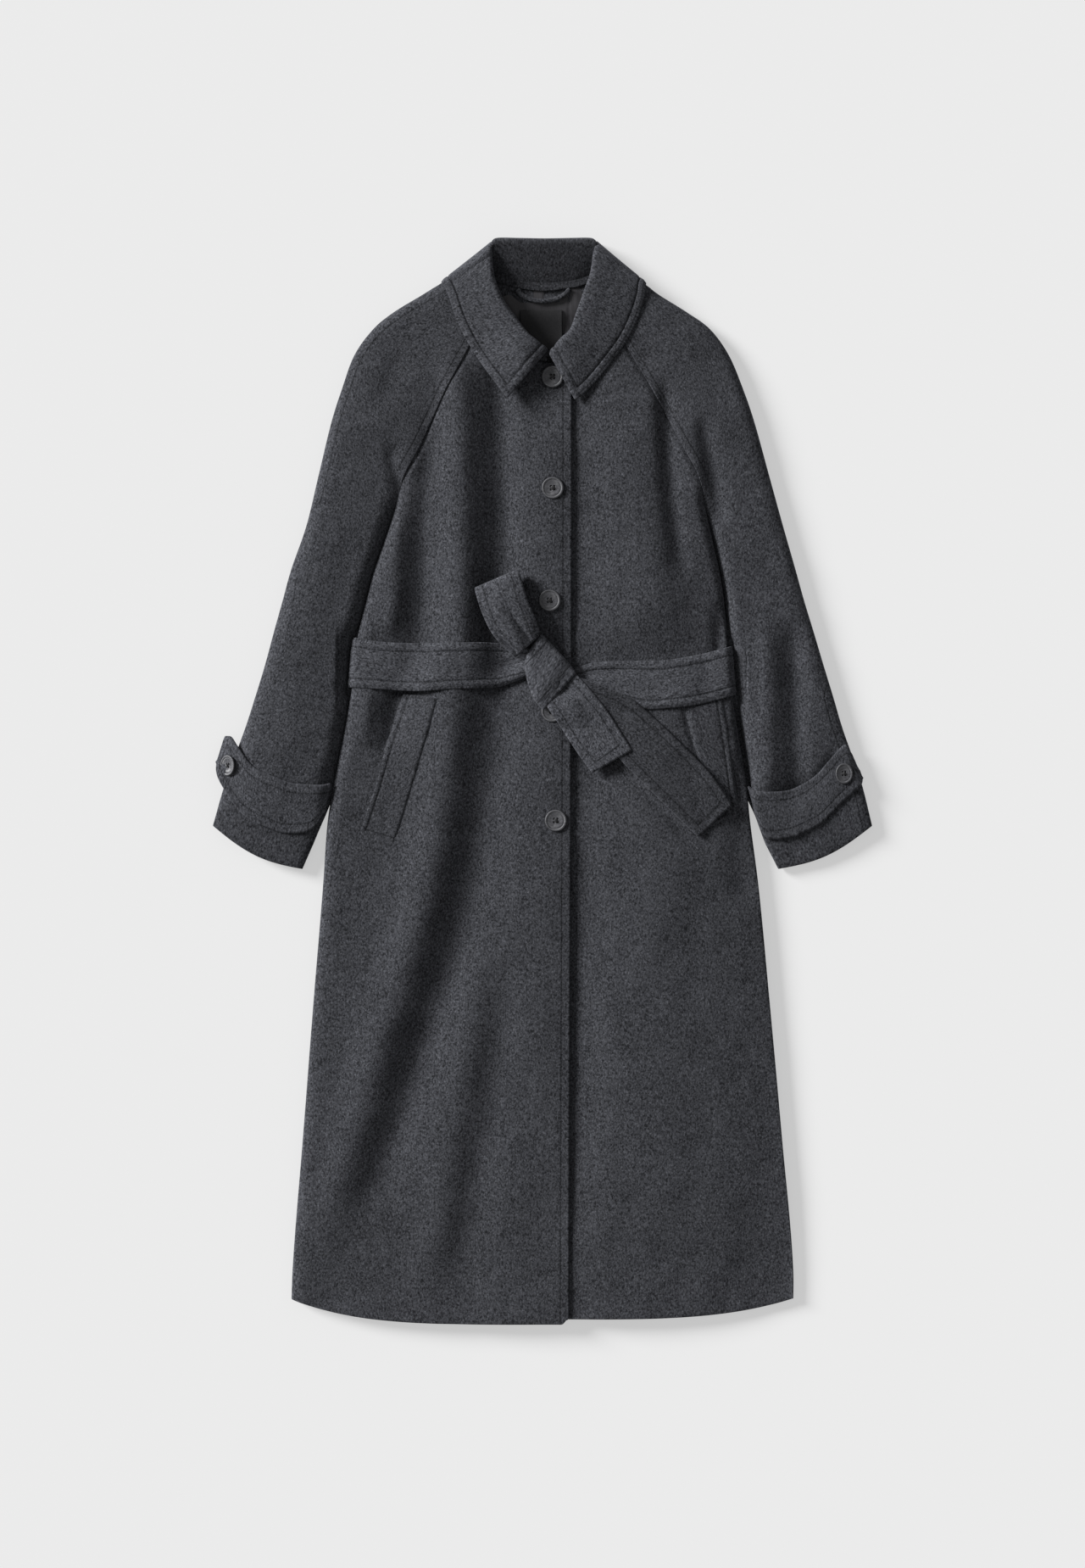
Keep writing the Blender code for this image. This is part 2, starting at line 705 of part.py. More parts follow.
collar_fall = sheet("collar_fall", len(FALL_SHARES), len(COLLAR_ROWS), fall_place, DOUBLE)

# Pocket welts -----------------------------------------------------------------------

WELT_LEFT = (  # left x, y; right x, y
    (-158, 97, -117, 91),
    (-177, 39, -133, 36),
    (-191.5, -11, -147, -11),
    (-208, -59, -166.5, -73),
)
WELT_RIGHT = (
    (160, 84, 205, 91),
    (168.5, 54, 211, 54),
    (177, 21.6, 217, 5),
    (196, -52, 224, -38),
)


def strip_spot(table, rows, columns, column, row):
    """A place on a strip whose table gives both ends of each cross line."""
    along = row / (rows - 1) * (len(table) - 1)
    indexed = [(k, *line) for k, line in enumerate(table)]
    ends = [curve_through(indexed, along, part) for part in range(1, len(table[0]) + 1)]
    share = column / (columns - 1)
    return ends[0] + (ends[2] - ends[0]) * share, ends[1] + (ends[3] - ends[1]) * share, ends[4:]


def lay_strip(name, table, rows, columns, beneath, thickness, reach=9.0, least=0.0):
    """A strip laid on the pieces under it."""

    def place(column, row):
        x, y, _ = strip_spot(table, rows, columns, column, row)
        return Vector((x, y, max(top_of(beneath, x, y, reach), least) + LAY_GAP + thickness / 2))

    return sheet(name, columns, rows, place, thickness)


front_layers = surfaces(front_left, front_right)
pocket_welt_left = lay_strip("pocket_welt_left", WELT_LEFT, 6, 4, front_layers, CLOTH, 12.0)
pocket_welt_right = lay_strip("pocket_welt_right", WELT_RIGHT, 6, 4, front_layers, CLOTH, 12.0)

# Belt round the waist -----------------------------------------------------------------

BELT_FRONT = (  # x, middle y
    (-215, 134),
    (-141, 129),
    (-53, 130),
    (-12, 128),
    (36, 104),
    (94, 110),
    (138, 109),
    (182, 116),
    (214, 125),
)
BELT_LEFT_STOPS = (-10, -35, -60, -85, -110, -135, -160, -180)
BELT_RIGHT_STOPS = (178, 158, 135, 110, 85, 60, 38)
BELT_UNDER_STOPS = (-150, -50, 50, 150)
BELT_TURNS = (75, 50, 25, 0, -30, -60)
BELT_COLUMNS = 5
belt_layers = surfaces(front_left, front_right, pocket_welt_left, pocket_welt_right)


def belt_turn(side, angle, y):
    """A place on the belt where it turns round the body's edge."""
    edge = body_edge(side, y)
    reach = (LEFT_ROLL if side < 0 else RIGHT_ROLL) if angle > 0 else UNDER_ROLL
    low = seam_height(edge, y)
    rise = (top_height(edge - side * reach, y) - low) if angle > 0 else low - CLOTH / 2 - BELT_LIFT
    radians = math.radians(angle)
    normal = Vector((math.cos(radians) / reach, math.sin(radians) / rise)).normalized()
    distance = CLOTH / 2 + DOUBLE / 2 + 1.7
    x = edge - side * reach * (1 - math.cos(radians)) + side * normal.x * distance
    z = low + rise * math.sin(radians) + normal.y * distance
    return x, max(z, DOUBLE / 2)


BELT_STATIONS = (
    [("top", x) for x in BELT_LEFT_STOPS]
    + [("left", angle) for angle in BELT_TURNS]
    + [("under", x) for x in BELT_UNDER_STOPS]
    + [("right", angle) for angle in reversed(BELT_TURNS)]
    + [("top", x) for x in BELT_RIGHT_STOPS]
)


def belt_place(column, row):
    kind, value = BELT_STATIONS[row]
    across = (column / (BELT_COLUMNS - 1) - 0.5) * BELT_WIDTH
    if kind == "top":
        y = curve_through(BELT_FRONT, value) + across
        return Vector((value, y, top_of(belt_layers, value, y, 12.0) + LAY_GAP + DOUBLE / 2))
    if kind == "under":
        return Vector((value, line_through(((-215, 134), (214, 125)), value) + across, DOUBLE / 2))
    side = -1 if kind == "left" else 1
    y = (134 if side < 0 else 125) + across
    x, z = belt_turn(side, value, y)
    return Vector((x, y, z))


belt_band = sheet("belt_band", BELT_COLUMNS, len(BELT_STATIONS), belt_place, DOUBLE)

# Belt ends, knot and bow loop ------------------------------------------------------------

END_LONG = (  # right x, y; left x, y, from the knot outwards
    (46, 112, 20, 79),
    (88, 96.5, 60, 54),
    (113, 80, 80, 34),
    (152, 44, 111, 3),
    (188, 7, 147, -33),
    (212, -27, 176, -61),
)
END_SHORT = (
    (43, 112, 13, 79),
    (54, 101, 22, 61),
    (71.5, 78, 40, 34),
    (99, 35, 57, 11),
)
long_floor = surfaces(
    front_left, front_right, belt_band, pocket_welt_right, buttons[3], buttons[4], sleeve_right_front
)
belt_end_long = lay_strip("belt_end_long", END_LONG, 12, 4, long_floor, DOUBLE, 17.0)
short_floor = surfaces(front_left, front_right, belt_band, belt_end_long, buttons[3])
belt_end_short = lay_strip("belt_end_short", END_SHORT, 7, 4, short_floor, DOUBLE, 15.0)

KNOT_CENTRE = (10.0, 120.0)
KNOT_OUTLINE = (  # angle in degrees, distance from the centre
    (0, 30),
    (35, 27),
    (60, 31),
    (95, 44),
    (125, 38),
    (160, 30),
    (190, 28),
    (225, 25),
    (250, 34),
    (268, 40),
    (290, 33),
    (320, 27),
    (360, 29),
)
KNOT_HEIGHT = 17.0
KNOT_SIDES = 20
KNOT_RINGS = 8
knot_floor = surfaces(belt_band, front_left, buttons[3])
knot_low = max(
    top_of(knot_floor, KNOT_CENTRE[0] + dx, KNOT_CENTRE[1] + dy, 14.0)
    for dx in (-18, 0, 18) for dy in (-26, 0, 26)
) + LAY_GAP


def knot_solid():
    """The knot's layers as one rounded solid, flat underneath."""
    ball = bmesh.new()
    bmesh.ops.create_uvsphere(ball, u_segments=KNOT_SIDES, v_segments=KNOT_RINGS, radius=1.0)
    for vertex in ball.verts:
        angle = math.degrees(math.atan2(vertex.co.y, vertex.co.x)) % 360
        reach = curve_through(KNOT_OUTLINE, angle)
        spread = min(math.hypot(vertex.co.x, vertex.co.y), 1.0) ** 0.7
        direction = math.radians(angle)
        lift = 0.5 + 0.5 * math.copysign(abs(vertex.co.z) ** 0.8, vertex.co.z)
        vertex.co = Vector((
            KNOT_CENTRE[0] + reach * spread * math.cos(direction),
            KNOT_CENTRE[1] + reach * spread * math.sin(direction),
            knot_low + KNOT_HEIGHT * lift,
        )) * MM
    mesh = bpy.data.meshes.new("belt_knot")
    ball.to_mesh(mesh)
    ball.free()
    mesh.shade_smooth()
    obj = bpy.data.objects.new("belt_knot", mesh)
    coat.objects.link(obj)
    give_finish(obj, "wool")
    return obj


belt_knot = knot_solid()

BOW_ROWS = (  # left x, y; right x, y; height over what is beneath: out from the knot and back
    (-36, 150, -11, 168, 0.0),
    (-51, 170, -17, 190, 0.0),
    (-64, 193, -23, 212, 0.0),
    (-71, 209, -27, 227, 0.5),
    (-75, 219, -30, 237, 7.0),
    (-72, 211, -28, 230, 14.5),
    (-64, 193, -23, 212, 17.0),
    (-51, 170, -17, 190, 17.0),
    (-35, 149, -10, 167, 15.5),
)
BOW_LINES = 13
BOW_COLUMNS = 5
bow_floor = surfaces(front_left, belt_band)
BOW_LOW = max(top_of(bow_floor, x, y, 12.0) for x in (-60, -40, -20) for y in (160, 190, 220))


def bow_place(column, row):
    x, y, rest = strip_spot(BOW_ROWS, BOW_LINES, BOW_COLUMNS, column, row)
    share = column / (BOW_COLUMNS - 1)
    crown = 2.5 * math.sin(math.pi * share) * min(rest[0] / 7, 1)
    return Vector((x, y, BOW_LOW + LAY_GAP + DOUBLE / 2 + rest[0] + crown))


belt_loop = sheet("belt_loop", BOW_COLUMNS, BOW_LINES, bow_place, DOUBLE)

# Cuff straps and their buttons ---------------------------------------------------------------

STRAP_LEFT = (  # upper x, y; lower x, y; lowest height of the strap's underside
    (-240, -5, -246, -34, 8),
    (-252, -7, -262, -54, 12),
    (-283, -5, -289.5, -57, 12),
    (-301, 1.5, -308, -51, 12),
    (-317, 8, -325, -44, 14),
    (-330, 18, -342, -31, 16),
    (-344, 37, -358, -8, 15),
    (-351, 47, -366, 8, 10),
    (-357, 48.5, -367, 21, 6),
)
STRAP_RIGHT = (
    (234, -8, 241, -34, 8),
    (244, -14, 253, -62, 12),
    (273, -14, 280, -62, 12),
    (291, -8, 297, -55, 12),
    (309.6, 4, 315, -45.6, 14),
    (324, 20, 334.6, -26, 15),
    (341, 38, 353, -9, 15),
    (347, 32, 359.5, -3, 12),
    (351, 24, 361, 3, 8),
)


def strap_place(table, trees, rows, columns, column, row):
    x, y, rest = strip_spot(table, rows, columns, column, row)
    height = max(top_of(trees, x, y, 8.0), rest[0])
    return Vector((x, y, height + LAY_GAP + DOUBLE / 2))


STRAP_LINES = 14
STRAP_COLUMNS = 4
straps = []
for name, table, sleeve, body_front in (
    ("cuff_strap_left", STRAP_LEFT, sleeve_left_front, front_left),
    ("cuff_strap_right", STRAP_RIGHT, sleeve_right_front, front_right),
):
    trees = surfaces(sleeve, body_front)
    straps.append(
        sheet(
            name,
            STRAP_COLUMNS,
            STRAP_LINES,
            lambda column, row, table=table, trees=trees: strap_place(
                table, trees, STRAP_LINES, STRAP_COLUMNS, column, row
            ),
            DOUBLE,
        )
    )

CUFF_BUTTONS = (  # side name, x, y, tilt in degrees, strap
    ("left", -352.0, 17.0, -34.0, 0),
    ("right", 339.0, 8.0, 26.0, 1),
)
for side_name, x, y, tilt, strap in CUFF_BUTTONS:
    strap_top = surfaces(straps[strap])
    height = top_of(strap_top, x, y, 4.0) + 3.5
    button(f"cuff_button_{side_name}", x, y, height, tilt, 0.9)
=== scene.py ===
import math

import bpy
import numpy as np
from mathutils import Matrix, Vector
from mathutils.bvhtree import BVHTree


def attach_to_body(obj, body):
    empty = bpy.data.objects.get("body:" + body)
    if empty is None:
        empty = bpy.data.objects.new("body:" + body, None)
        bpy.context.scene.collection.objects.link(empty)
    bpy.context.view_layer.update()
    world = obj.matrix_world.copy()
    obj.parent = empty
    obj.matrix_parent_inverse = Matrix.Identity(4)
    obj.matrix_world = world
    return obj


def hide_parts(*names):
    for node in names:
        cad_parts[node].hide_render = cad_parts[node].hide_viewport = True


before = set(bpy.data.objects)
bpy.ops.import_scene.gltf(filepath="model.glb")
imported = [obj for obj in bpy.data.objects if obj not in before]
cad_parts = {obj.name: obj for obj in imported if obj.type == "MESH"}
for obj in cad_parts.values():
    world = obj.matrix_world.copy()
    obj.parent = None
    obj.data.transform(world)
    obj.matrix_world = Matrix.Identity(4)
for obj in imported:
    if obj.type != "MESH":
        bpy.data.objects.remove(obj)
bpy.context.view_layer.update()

# Camera, floor and lights.
# The coat lies face up on a studio table, seen from straight above. A soft light low
# on the left rakes over the cloth; pale walls, and a glow painted into the grey table, fill the shadows.
VIEW_CENTRE = (0.0005, -0.0038)
VIEW_HEIGHT = 1.775  # metres of floor from the picture's lower edge to its upper
CAMERA_HEIGHT = 5.0
SENSOR = 36.0


def placed(name, data):
    """A new object in the scene, made of this mesh, lamp or lens."""
    obj = bpy.data.objects.new(name, data)
    bpy.context.scene.collection.objects.link(obj)
    return obj


lens = bpy.data.cameras.new("camera")
lens.sensor_fit = "VERTICAL"
lens.sensor_height = SENSOR
lens.lens = SENSOR * CAMERA_HEIGHT / VIEW_HEIGHT
camera = placed("camera", lens)
camera.location = (*VIEW_CENTRE, CAMERA_HEIGHT)
bpy.context.scene.camera = camera
bpy.context.scene.view_settings.view_transform = "Standard"

LIGHT_STRENGTH = 6.1
LIGHT_WIDTH = math.radians(20)
up, side = math.radians(22), math.radians(152)  # where the light comes from

lamp = bpy.data.lights.new("raking_light", "SUN")
lamp.energy = LIGHT_STRENGTH
lamp.angle = LIGHT_WIDTH
towards = Vector((math.cos(up) * math.cos(side), math.cos(up) * math.sin(side), math.sin(up)))
placed("raking_light", lamp).rotation_euler = towards.to_track_quat("Z", "Y").to_euler()

studio = bpy.data.worlds.new("studio")
studio.use_nodes = True
sky = studio.node_tree.nodes["Background"]
sky.inputs["Color"].default_value = (1.0, 1.0, 1.0, 1.0)
sky.inputs["Strength"].default_value = 0.27
bpy.context.scene.world = studio

floor_mesh = bpy.data.meshes.new("studio_floor")
FLOOR_HALF = 6.0
FLOOR_DROP = -0.0003
floor_corners = [
    (x * FLOOR_HALF, y * FLOOR_HALF, FLOOR_DROP) for x, y in ((-1, -1), (1, -1), (1, 1), (-1, 1))
]
floor_mesh.from_pydata(floor_corners, [], [(0, 1, 2, 3)])
floor = placed("studio_floor", floor_mesh)
floor_paint = bpy.data.materials.new("grey_floor_painted_glow")
floor_paint.use_nodes = True
floor_shader = floor_paint.node_tree.nodes["Principled BSDF"]
# The floor is mid grey and glows: painted light that makes it look pale and keeps the coat's shadows on it
# light.
floor_shader.inputs["Base Color"].default_value = (0.34, 0.34, 0.34, 1.0)
floor_shader.inputs["Emission Color"].default_value = (1.0, 1.0, 1.0, 1.0)
floor_shader.inputs["Emission Strength"].default_value = 0.49
floor_shader.inputs["Roughness"].default_value = 0.9
floor_shader.inputs["Specular IOR Level"].default_value = 0.1
floor_mesh.materials.append(floor_paint)

# Back panel.
# The coat cloth is a thick charcoal melange wool, milled and brushed so that its nap
# hides the weave. The back is one panel, laid on the floor, over the belt and the collar.
MM = 0.001
CLOTH = 2.5  # thickness of one layer of the coat cloth, in millimetres as all sizes below
CUT_RIM = 0.75  # how far a seamed edge stands out past its seam line
TOP = 18.0  # middle of the upper layer above the floor
NECK_Y = 523.0
BACK_NECK_Y = 566.0
HEM_Y = -585.0
HEM_LEFT, HEM_RIGHT = -282.0, 283.0  # x of the hem's corners
ARMPIT_Y = 346.0
ARMPIT_FADE = 62.0
BELT_Y = 130.0
BELT_WIDTH = 50.0
BELT_LIFT = 5.4
COLLAR_LIFT = 5.9
UNDER_ROLL = 9.0
SEAM_HALF = 0.9

BODY_EDGES = (  # y, left x, right x: body edges below the armpits, raglan seams above
    (566, -40, 46), (545, -54, 61), (523, -67, 74), (487, -84, 97), (446, -106, 122),
    (404, -126, 145), (375, -139, 160), (346, -154, 175), (313, -163, 182), (273, -176, 191),
    (232, -190, 200), (205, -197, 204), (157, -208, 208), (108, -213, 212), (47, -224, 221),
    (-8, -235, 230), (-46, -241, 234), (-115, -246, 243), (-249, -257, 256), (-403, -269, 270),
    (-556, -281, 283), (-585, -282, 283),
)
CREASES = (  # top x, y; middle x, y; bottom x, y; half width at the top, bottom; height there
    (-96, 468, -92, 320, -94, 125, 17, 21, 7.0, 9.5),
    (-50, 470, -46, 320, -50, 125, 18, 22, -8.5, -10.5),
    (4, 480, 2, 438, -4, 395, 28, 22, -5.5, -2.5),
    (160, 84, 168, 52, 178, 16, 5, 4, -2.6, -2.6),
    (60, 38, 112, -10, 164, -62, 8, 7, -3.0, -3.2),
    (-122, 425, -132, 300, -138, 135, 13, 19, -3.5, -6.5),
    (-168, 300, -166, 240, -172, 170, 12, 12, 3.0, 4.0),
    (8, 385, 12, 310, 8, 190, 24, 26, 2.4, 3.4),
    (108, 420, 116, 290, 122, 165, 36, 46, 6.0, 10.5),
    (139, 440, 143, 350, 156, 240, 10, 13, -6.5, -5.5),
    (170, 420, 178, 330, 192, 260, 10, 12, 2.0, 2.5),
    (181, 400, 192, 346, 199, 290, 10, 12, -3.5, -5.5),
    (200, 200, 200, 165, 199, 140, 9, 9, -3.0, -4.0),
    (-160, 125, -165, 75, -172, 30, 14, 15, -9.0, -6.0),
    (-196, 100, -198, 75, -204, 40, 9, 9, 3.0, 2.0),
    (-102, 130, -124, -90, -174, -270, 29, 29, 11.0, 10.5),
    (-174, -270, -203, -370, -243, -500, 26, 24, 9.0, 5.5),
    (-40, 130, -74, -76, -124, -268, 30, 26, -5.0, -8.0),
    (-124, -268, -152, -364, -194, -480, 24, 22, -7.0, -5.0),
    (-70, -205, -96, -380, -128, -540, 21, 24, 3.4, 4.2),
    (-36, -215, -60, -380, -92, -560, 19, 22, -2.4, -3.2),
    (10, 60, 4, -120, -4, -300, 30, 34, 2.6, 2.0),
    (130, 90, 142, -250, 160, -560, 55, 75, 5.0, 4.6),
    (70, 40, 66, -90, 60, -200, 26, 30, -1.6, -1.6),
    (222, 20, 224, -50, 228, -130, 15, 17, -5.0, -3.0),
    (253, 175, 255, 70, 254, -20, 12, 13, 4.5, 4.5),
    (284, 170, 287, 70, 290, -20, 13, 13, -5.0, -5.0),
    (-205, 430, -258, 200, -322, -30, 40, 42, 5.0, 6.0),
    (-150, 400, -205, 180, -258, -30, 46, 58, 1.0, 4.5),
    (-334, 40, -300, 14, -250, 2, 22, 22, 3.0, 3.5),
    (232, -18, 292, -12, 334, 27, 12, 11, -4.5, -5.0),
    (-160, 480, -168, 455, -180, 425, 12, 14, -1.8, -1.4),
    (-170, 375, -166, 350, -158, 325, 8, 8, -3.0, -3.0),
)
BACK_CREASES = (
    (-60, 420, -70, 320, -60, 215, 22, 18, 1.2, 2.4),
    (55, 410, 70, 310, 60, 215, 24, 18, 1.0, 2.2),
    (-90, 20, -110, -180, -150, -420, 20, 28, 2.6, 1.4),
    (30, 30, 20, -200, -10, -460, 18, 26, 2.2, 1.2),
    (120, 10, 140, -180, 170, -400, 22, 30, 2.4, 1.0),
)
UNEVENNESS = (  # direction in degrees, wave length, height
    (12, 83, 0.34), (74, 61, 0.24), (131, 47, 0.17), (38, 37, 0.12), (160, 118, 0.4), (97, 29, 0.07),
)


def ease(value):
    """0 below 0, 1 above 1, with a soft start and end."""
    value = np.clip(value, 0.0, 1.0)
    return value * value * (3.0 - 2.0 * value)


def swell(distance, width):
    """1 at distance 0, falling softly to 0 on both sides."""
    return np.exp(-((distance / width) ** 2))


def between(start, end, share):
    return start + (end - start) * share


def read(table, x, column=1):
    """A table's column at x, on a smooth curve through its rows."""
    at, value = np.array(sorted((row[0], row[column]) for row in table), float).T
    slope = np.diff(value) / np.diff(at)
    turn = np.concatenate([slope[:1], (slope[:-1] + slope[1:]) / 2, slope[-1:]])
    x = np.clip(x, at[0], at[-1])
    row = np.clip(np.searchsorted(at, x, side="right") - 1, 0, len(at) - 2)
    width = at[row + 1] - at[row]
    t = (x - at[row]) / width
    level = value[row] * (1 + 2 * t) * (1 - t) ** 2 + value[row + 1] * t * t * (3 - 2 * t)
    return level + width * (turn[row] * t * (1 - t) ** 2 - turn[row + 1] * t * t * (1 - t))


def pair(table, x):
    """The first two columns of a table at x."""
    return read(table, x, 1), read(table, x, 2)


def all_columns(table, at):
    """Every column of a table at these row numbers, on smooth curves through its rows."""
    numbered = [(k, *row) for k, row in enumerate(table)]
    return [read(numbered, at, column) for column in range(1, len(table[0]) + 1)]


def distance_along(line):
    """Distance of each point of a line from its start, measured along it."""
    return np.concatenate([[0], np.cumsum(np.linalg.norm(np.diff(line, axis=0), axis=-1))])


def body_edge(side, y):
    """x of the body's edge at this height, on the left for side -1 and the right for 1."""
    return read(BODY_EDGES, y, 1 if side < 0 else 2)


def trough(y):
    """0 above the armpits; 1 where the panels' edges have come right down."""
    return ease((ARMPIT_Y - y) / ARMPIT_FADE)


def crease_height(table, x, y):
    """Sum of soft ridges and troughs, each along a bent line through three points."""
    height = np.zeros(np.broadcast(x, y).shape)
    reach = 0.14
    for x0, y0, x1, y1, x2, y2, width0, width1, rise0, rise1 in table:
        run = math.hypot(x2 - x0, y2 - y0)
        ux, uy = (x2 - x0) / run, (y2 - y0) / run
        along = ((x - x0) * ux + (y - y0) * uy) / run
        middle = ((x1 - x0) * ux + (y1 - y0) * uy) / run
        bend = ((y1 - y0) * ux - (x1 - x0) * uy) / (middle * (1 - middle))
        inside = np.clip(along, 0.0, 1.0)
        across = (y - y0) * ux - (x - x0) * uy - bend * inside * (1 - inside)
        fade = ease((along + reach) / (2 * reach)) * ease((1 + reach - along) / (2 * reach))
        width = between(width0, width1, inside)
        height += between(rise0, rise1, inside) * fade * swell(across, width)
    return height


def uneven(x, y):
    """The slight unevenness of cloth that isn't pressed."""
    height = 0.0
    for direction, length, rise in UNEVENNESS:
        turn = math.radians(direction)
        along = x * math.cos(turn) + y * math.sin(turn)
        aside = y * math.cos(turn) - x * math.sin(turn)
        wander = 2.2 * np.sin(aside / (0.7 * length) + direction)
        height = height + rise * np.sin(2 * math.pi * along / length + wander)
    return height


def hem_drop(y):
    """How much lower the upper layer lies towards the hem."""
    return 4.0 * ease((-430 - y) / 170)


def top_height(x, y):
    """Middle of the coat's upper layer above the floor."""
    waist = -2.6 * swell(y - 125, 34) * (np.abs(x) < 232)
    crown = 5.0 * swell(x, 190) - 2.0
    crown = crown - 6.0 * np.clip((x - 60) / 220, 0, 1) ** 2 * ease((-30 - y) / 110)
    return TOP + waist - hem_drop(y) + crown + crease_height(CREASES, x, y) + uneven(x, y)


def under_height(x, y):
    """Middle of the coat's lower layer above the floor."""
    inside = (np.abs(x) < 0.5 * (body_edge(1, y) - body_edge(-1, y)) + 8) & (y < ARMPIT_Y)
    over_belt = BELT_LIFT * ease((BELT_WIDTH / 2 + 42 - np.abs(y - BELT_Y)) / 34) * inside
    collar_edge = 546 + 17 * (x / 105) ** 2
    over_collar = COLLAR_LIFT * ease((y - collar_edge + 32) / 26)
    return CLOTH / 2 + over_belt + over_collar


def seam_height(x, y):
    """Height of the side seams, halfway between both layers."""
    return (TOP - hem_drop(y) + under_height(x, y)) / 2


def rolled(turn, reach, amount):
    """Distance in from a rolled edge at this angle round it, and how far down the cloth is."""
    straight = turn / (math.pi / 2)
    distance = reach * ((1 - np.cos(turn)) * amount + straight * (1 - amount))
    return distance, amount * (1 - np.sin(turn))


def seam_dip(distance, y):
    """How far a front dips beside its raglan seam, this far from it."""
    return 2.2 * swell(distance, 3.0) * (1 - trough(y)) * ease((y - 330) / 20)


def hem(x):
    """y of the hem, which curves up towards the side seams."""
    curve = np.abs(x / 282) ** 4
    return -612.5 + 27.5 * curve + 5.0 * (x > 31) * (1 - curve)


def attach(mesh, name, values):
    """Stores one vector for each point, for the materials to read."""
    attribute = mesh.attributes.new(name, "FLOAT_VECTOR", "POINT")
    attribute.data.foreach_set("vector", np.ascontiguousarray(values, np.float32).ravel())


def in_object(name, points, faces, material, grain):
    """An object made of points in millimetres, with the place of each one in its material."""
    mesh = bpy.data.meshes.new(name)
    mesh.from_pydata((points * MM).tolist(), [], faces)
    attach(mesh, "grain", grain)
    mesh.materials.append(material)
    mesh.shade_smooth()
    return placed(name, mesh)


def unit(vectors):
    return vectors / (np.linalg.norm(vectors, axis=-1, keepdims=True) + 1e-9)


RIM_TURNS = np.radians((60, 30, 0, -30, -60))
tops = {}  # upper side of each finished piece, for laying others on it


def shell(name, places, material, above, below=None, rim=None, grain=None, stitch=None, facing=1):
    """A piece of cloth as a closed shell round a grid of places, with rounded edges.

    places are the grid's x, y and z. above and below are the distances from the grid to
    the two faces, rim how far the edge stands out. grain is (across, along) in
    millimetres, stitch is (distance from the nearest line of stitches, run along it).
    """
    points = np.stack(np.broadcast_arrays(*places), -1)
    below = above if below is None else below
    rows, columns = points.shape[:2]
    across, along = np.gradient(points, axis=1), np.gradient(points, axis=0)
    normal = unit(np.cross(across, along) * facing)
    above = np.broadcast_to(above, (rows, columns))[..., None]
    below = np.broadcast_to(below, (rows, columns))[..., None]
    upper, lower = points + normal * above, points - normal * below
    last_row, last_column = rows - 1, columns - 1
    edge = [(0, j) for j in range(last_column)] + [(i, last_column) for i in range(last_row)]
    edge += [(last_row, j) for j in range(last_column, 0, -1)] + [(i, 0) for i in range(last_row, 0, -1)]
    ring_row, ring_column = np.array(edge).T
    outward = np.zeros_like(points)
    outward[0] -= unit(along[0])
    outward[-1] += unit(along[-1])
    outward[:, 0] -= unit(across[:, 0])
    outward[:, -1] += unit(across[:, -1])
    out = outward[ring_row, ring_column]
    facing_up = normal[ring_row, ring_column]
    out = unit(out - facing_up * (out * facing_up).sum(1, keepdims=True))
    rim = np.mean(above) if rim is None else rim
    rings = []
    for turn in RIM_TURNS:
        rise = (above if turn > 0 else below)[ring_row, ring_column]
        middle = points[ring_row, ring_column]
        rings.append(middle + out * rim * math.cos(turn) + facing_up * rise * math.sin(turn))
    count = rows * columns
    vertices = np.concatenate([upper.reshape(-1, 3), lower.reshape(-1, 3), *rings])
    number = np.arange(count).reshape(rows, columns)
    quads = np.stack([number[:-1, :-1], number[:-1, 1:], number[1:, 1:], number[1:, :-1]], -1)
    quads = quads.reshape(-1, 4)
    chain = [number[ring_row, ring_column]]
    chain += [2 * count + k * len(edge) + np.arange(len(edge)) for k in range(len(RIM_TURNS))]
    chain += [number[ring_row, ring_column] + count]
    faces = [quads[:, ::facing], quads[:, ::-facing] + count]
    for high, low in zip(chain, chain[1:]):
        wall = np.stack([np.roll(low, -1), np.roll(high, -1), high, low], -1)
        faces.append(wall[:, ::facing])

    def spread_out(*values):
        values = np.stack(np.broadcast_arrays(*values), -1)
        flat_values = values.reshape(-1, 3)
        ring = values[ring_row, ring_column]
        return np.concatenate([flat_values, flat_values] + [ring] * len(RIM_TURNS))

    u, v = (points[..., 0], points[..., 1]) if grain is None else grain
    layer = 7.0 * len(tops) + 0.5 * points[..., 2]
    cloth = in_object(name, vertices, np.concatenate(faces).tolist(), material, spread_out(u, v, layer))
    if stitch is not None:
        attach(cloth.data, "stitch", spread_out(*stitch, layer * 0 + 1))
    tops[name] = BVHTree.FromPolygons(upper.reshape(-1, 3).tolist(), quads.tolist())
    return cloth


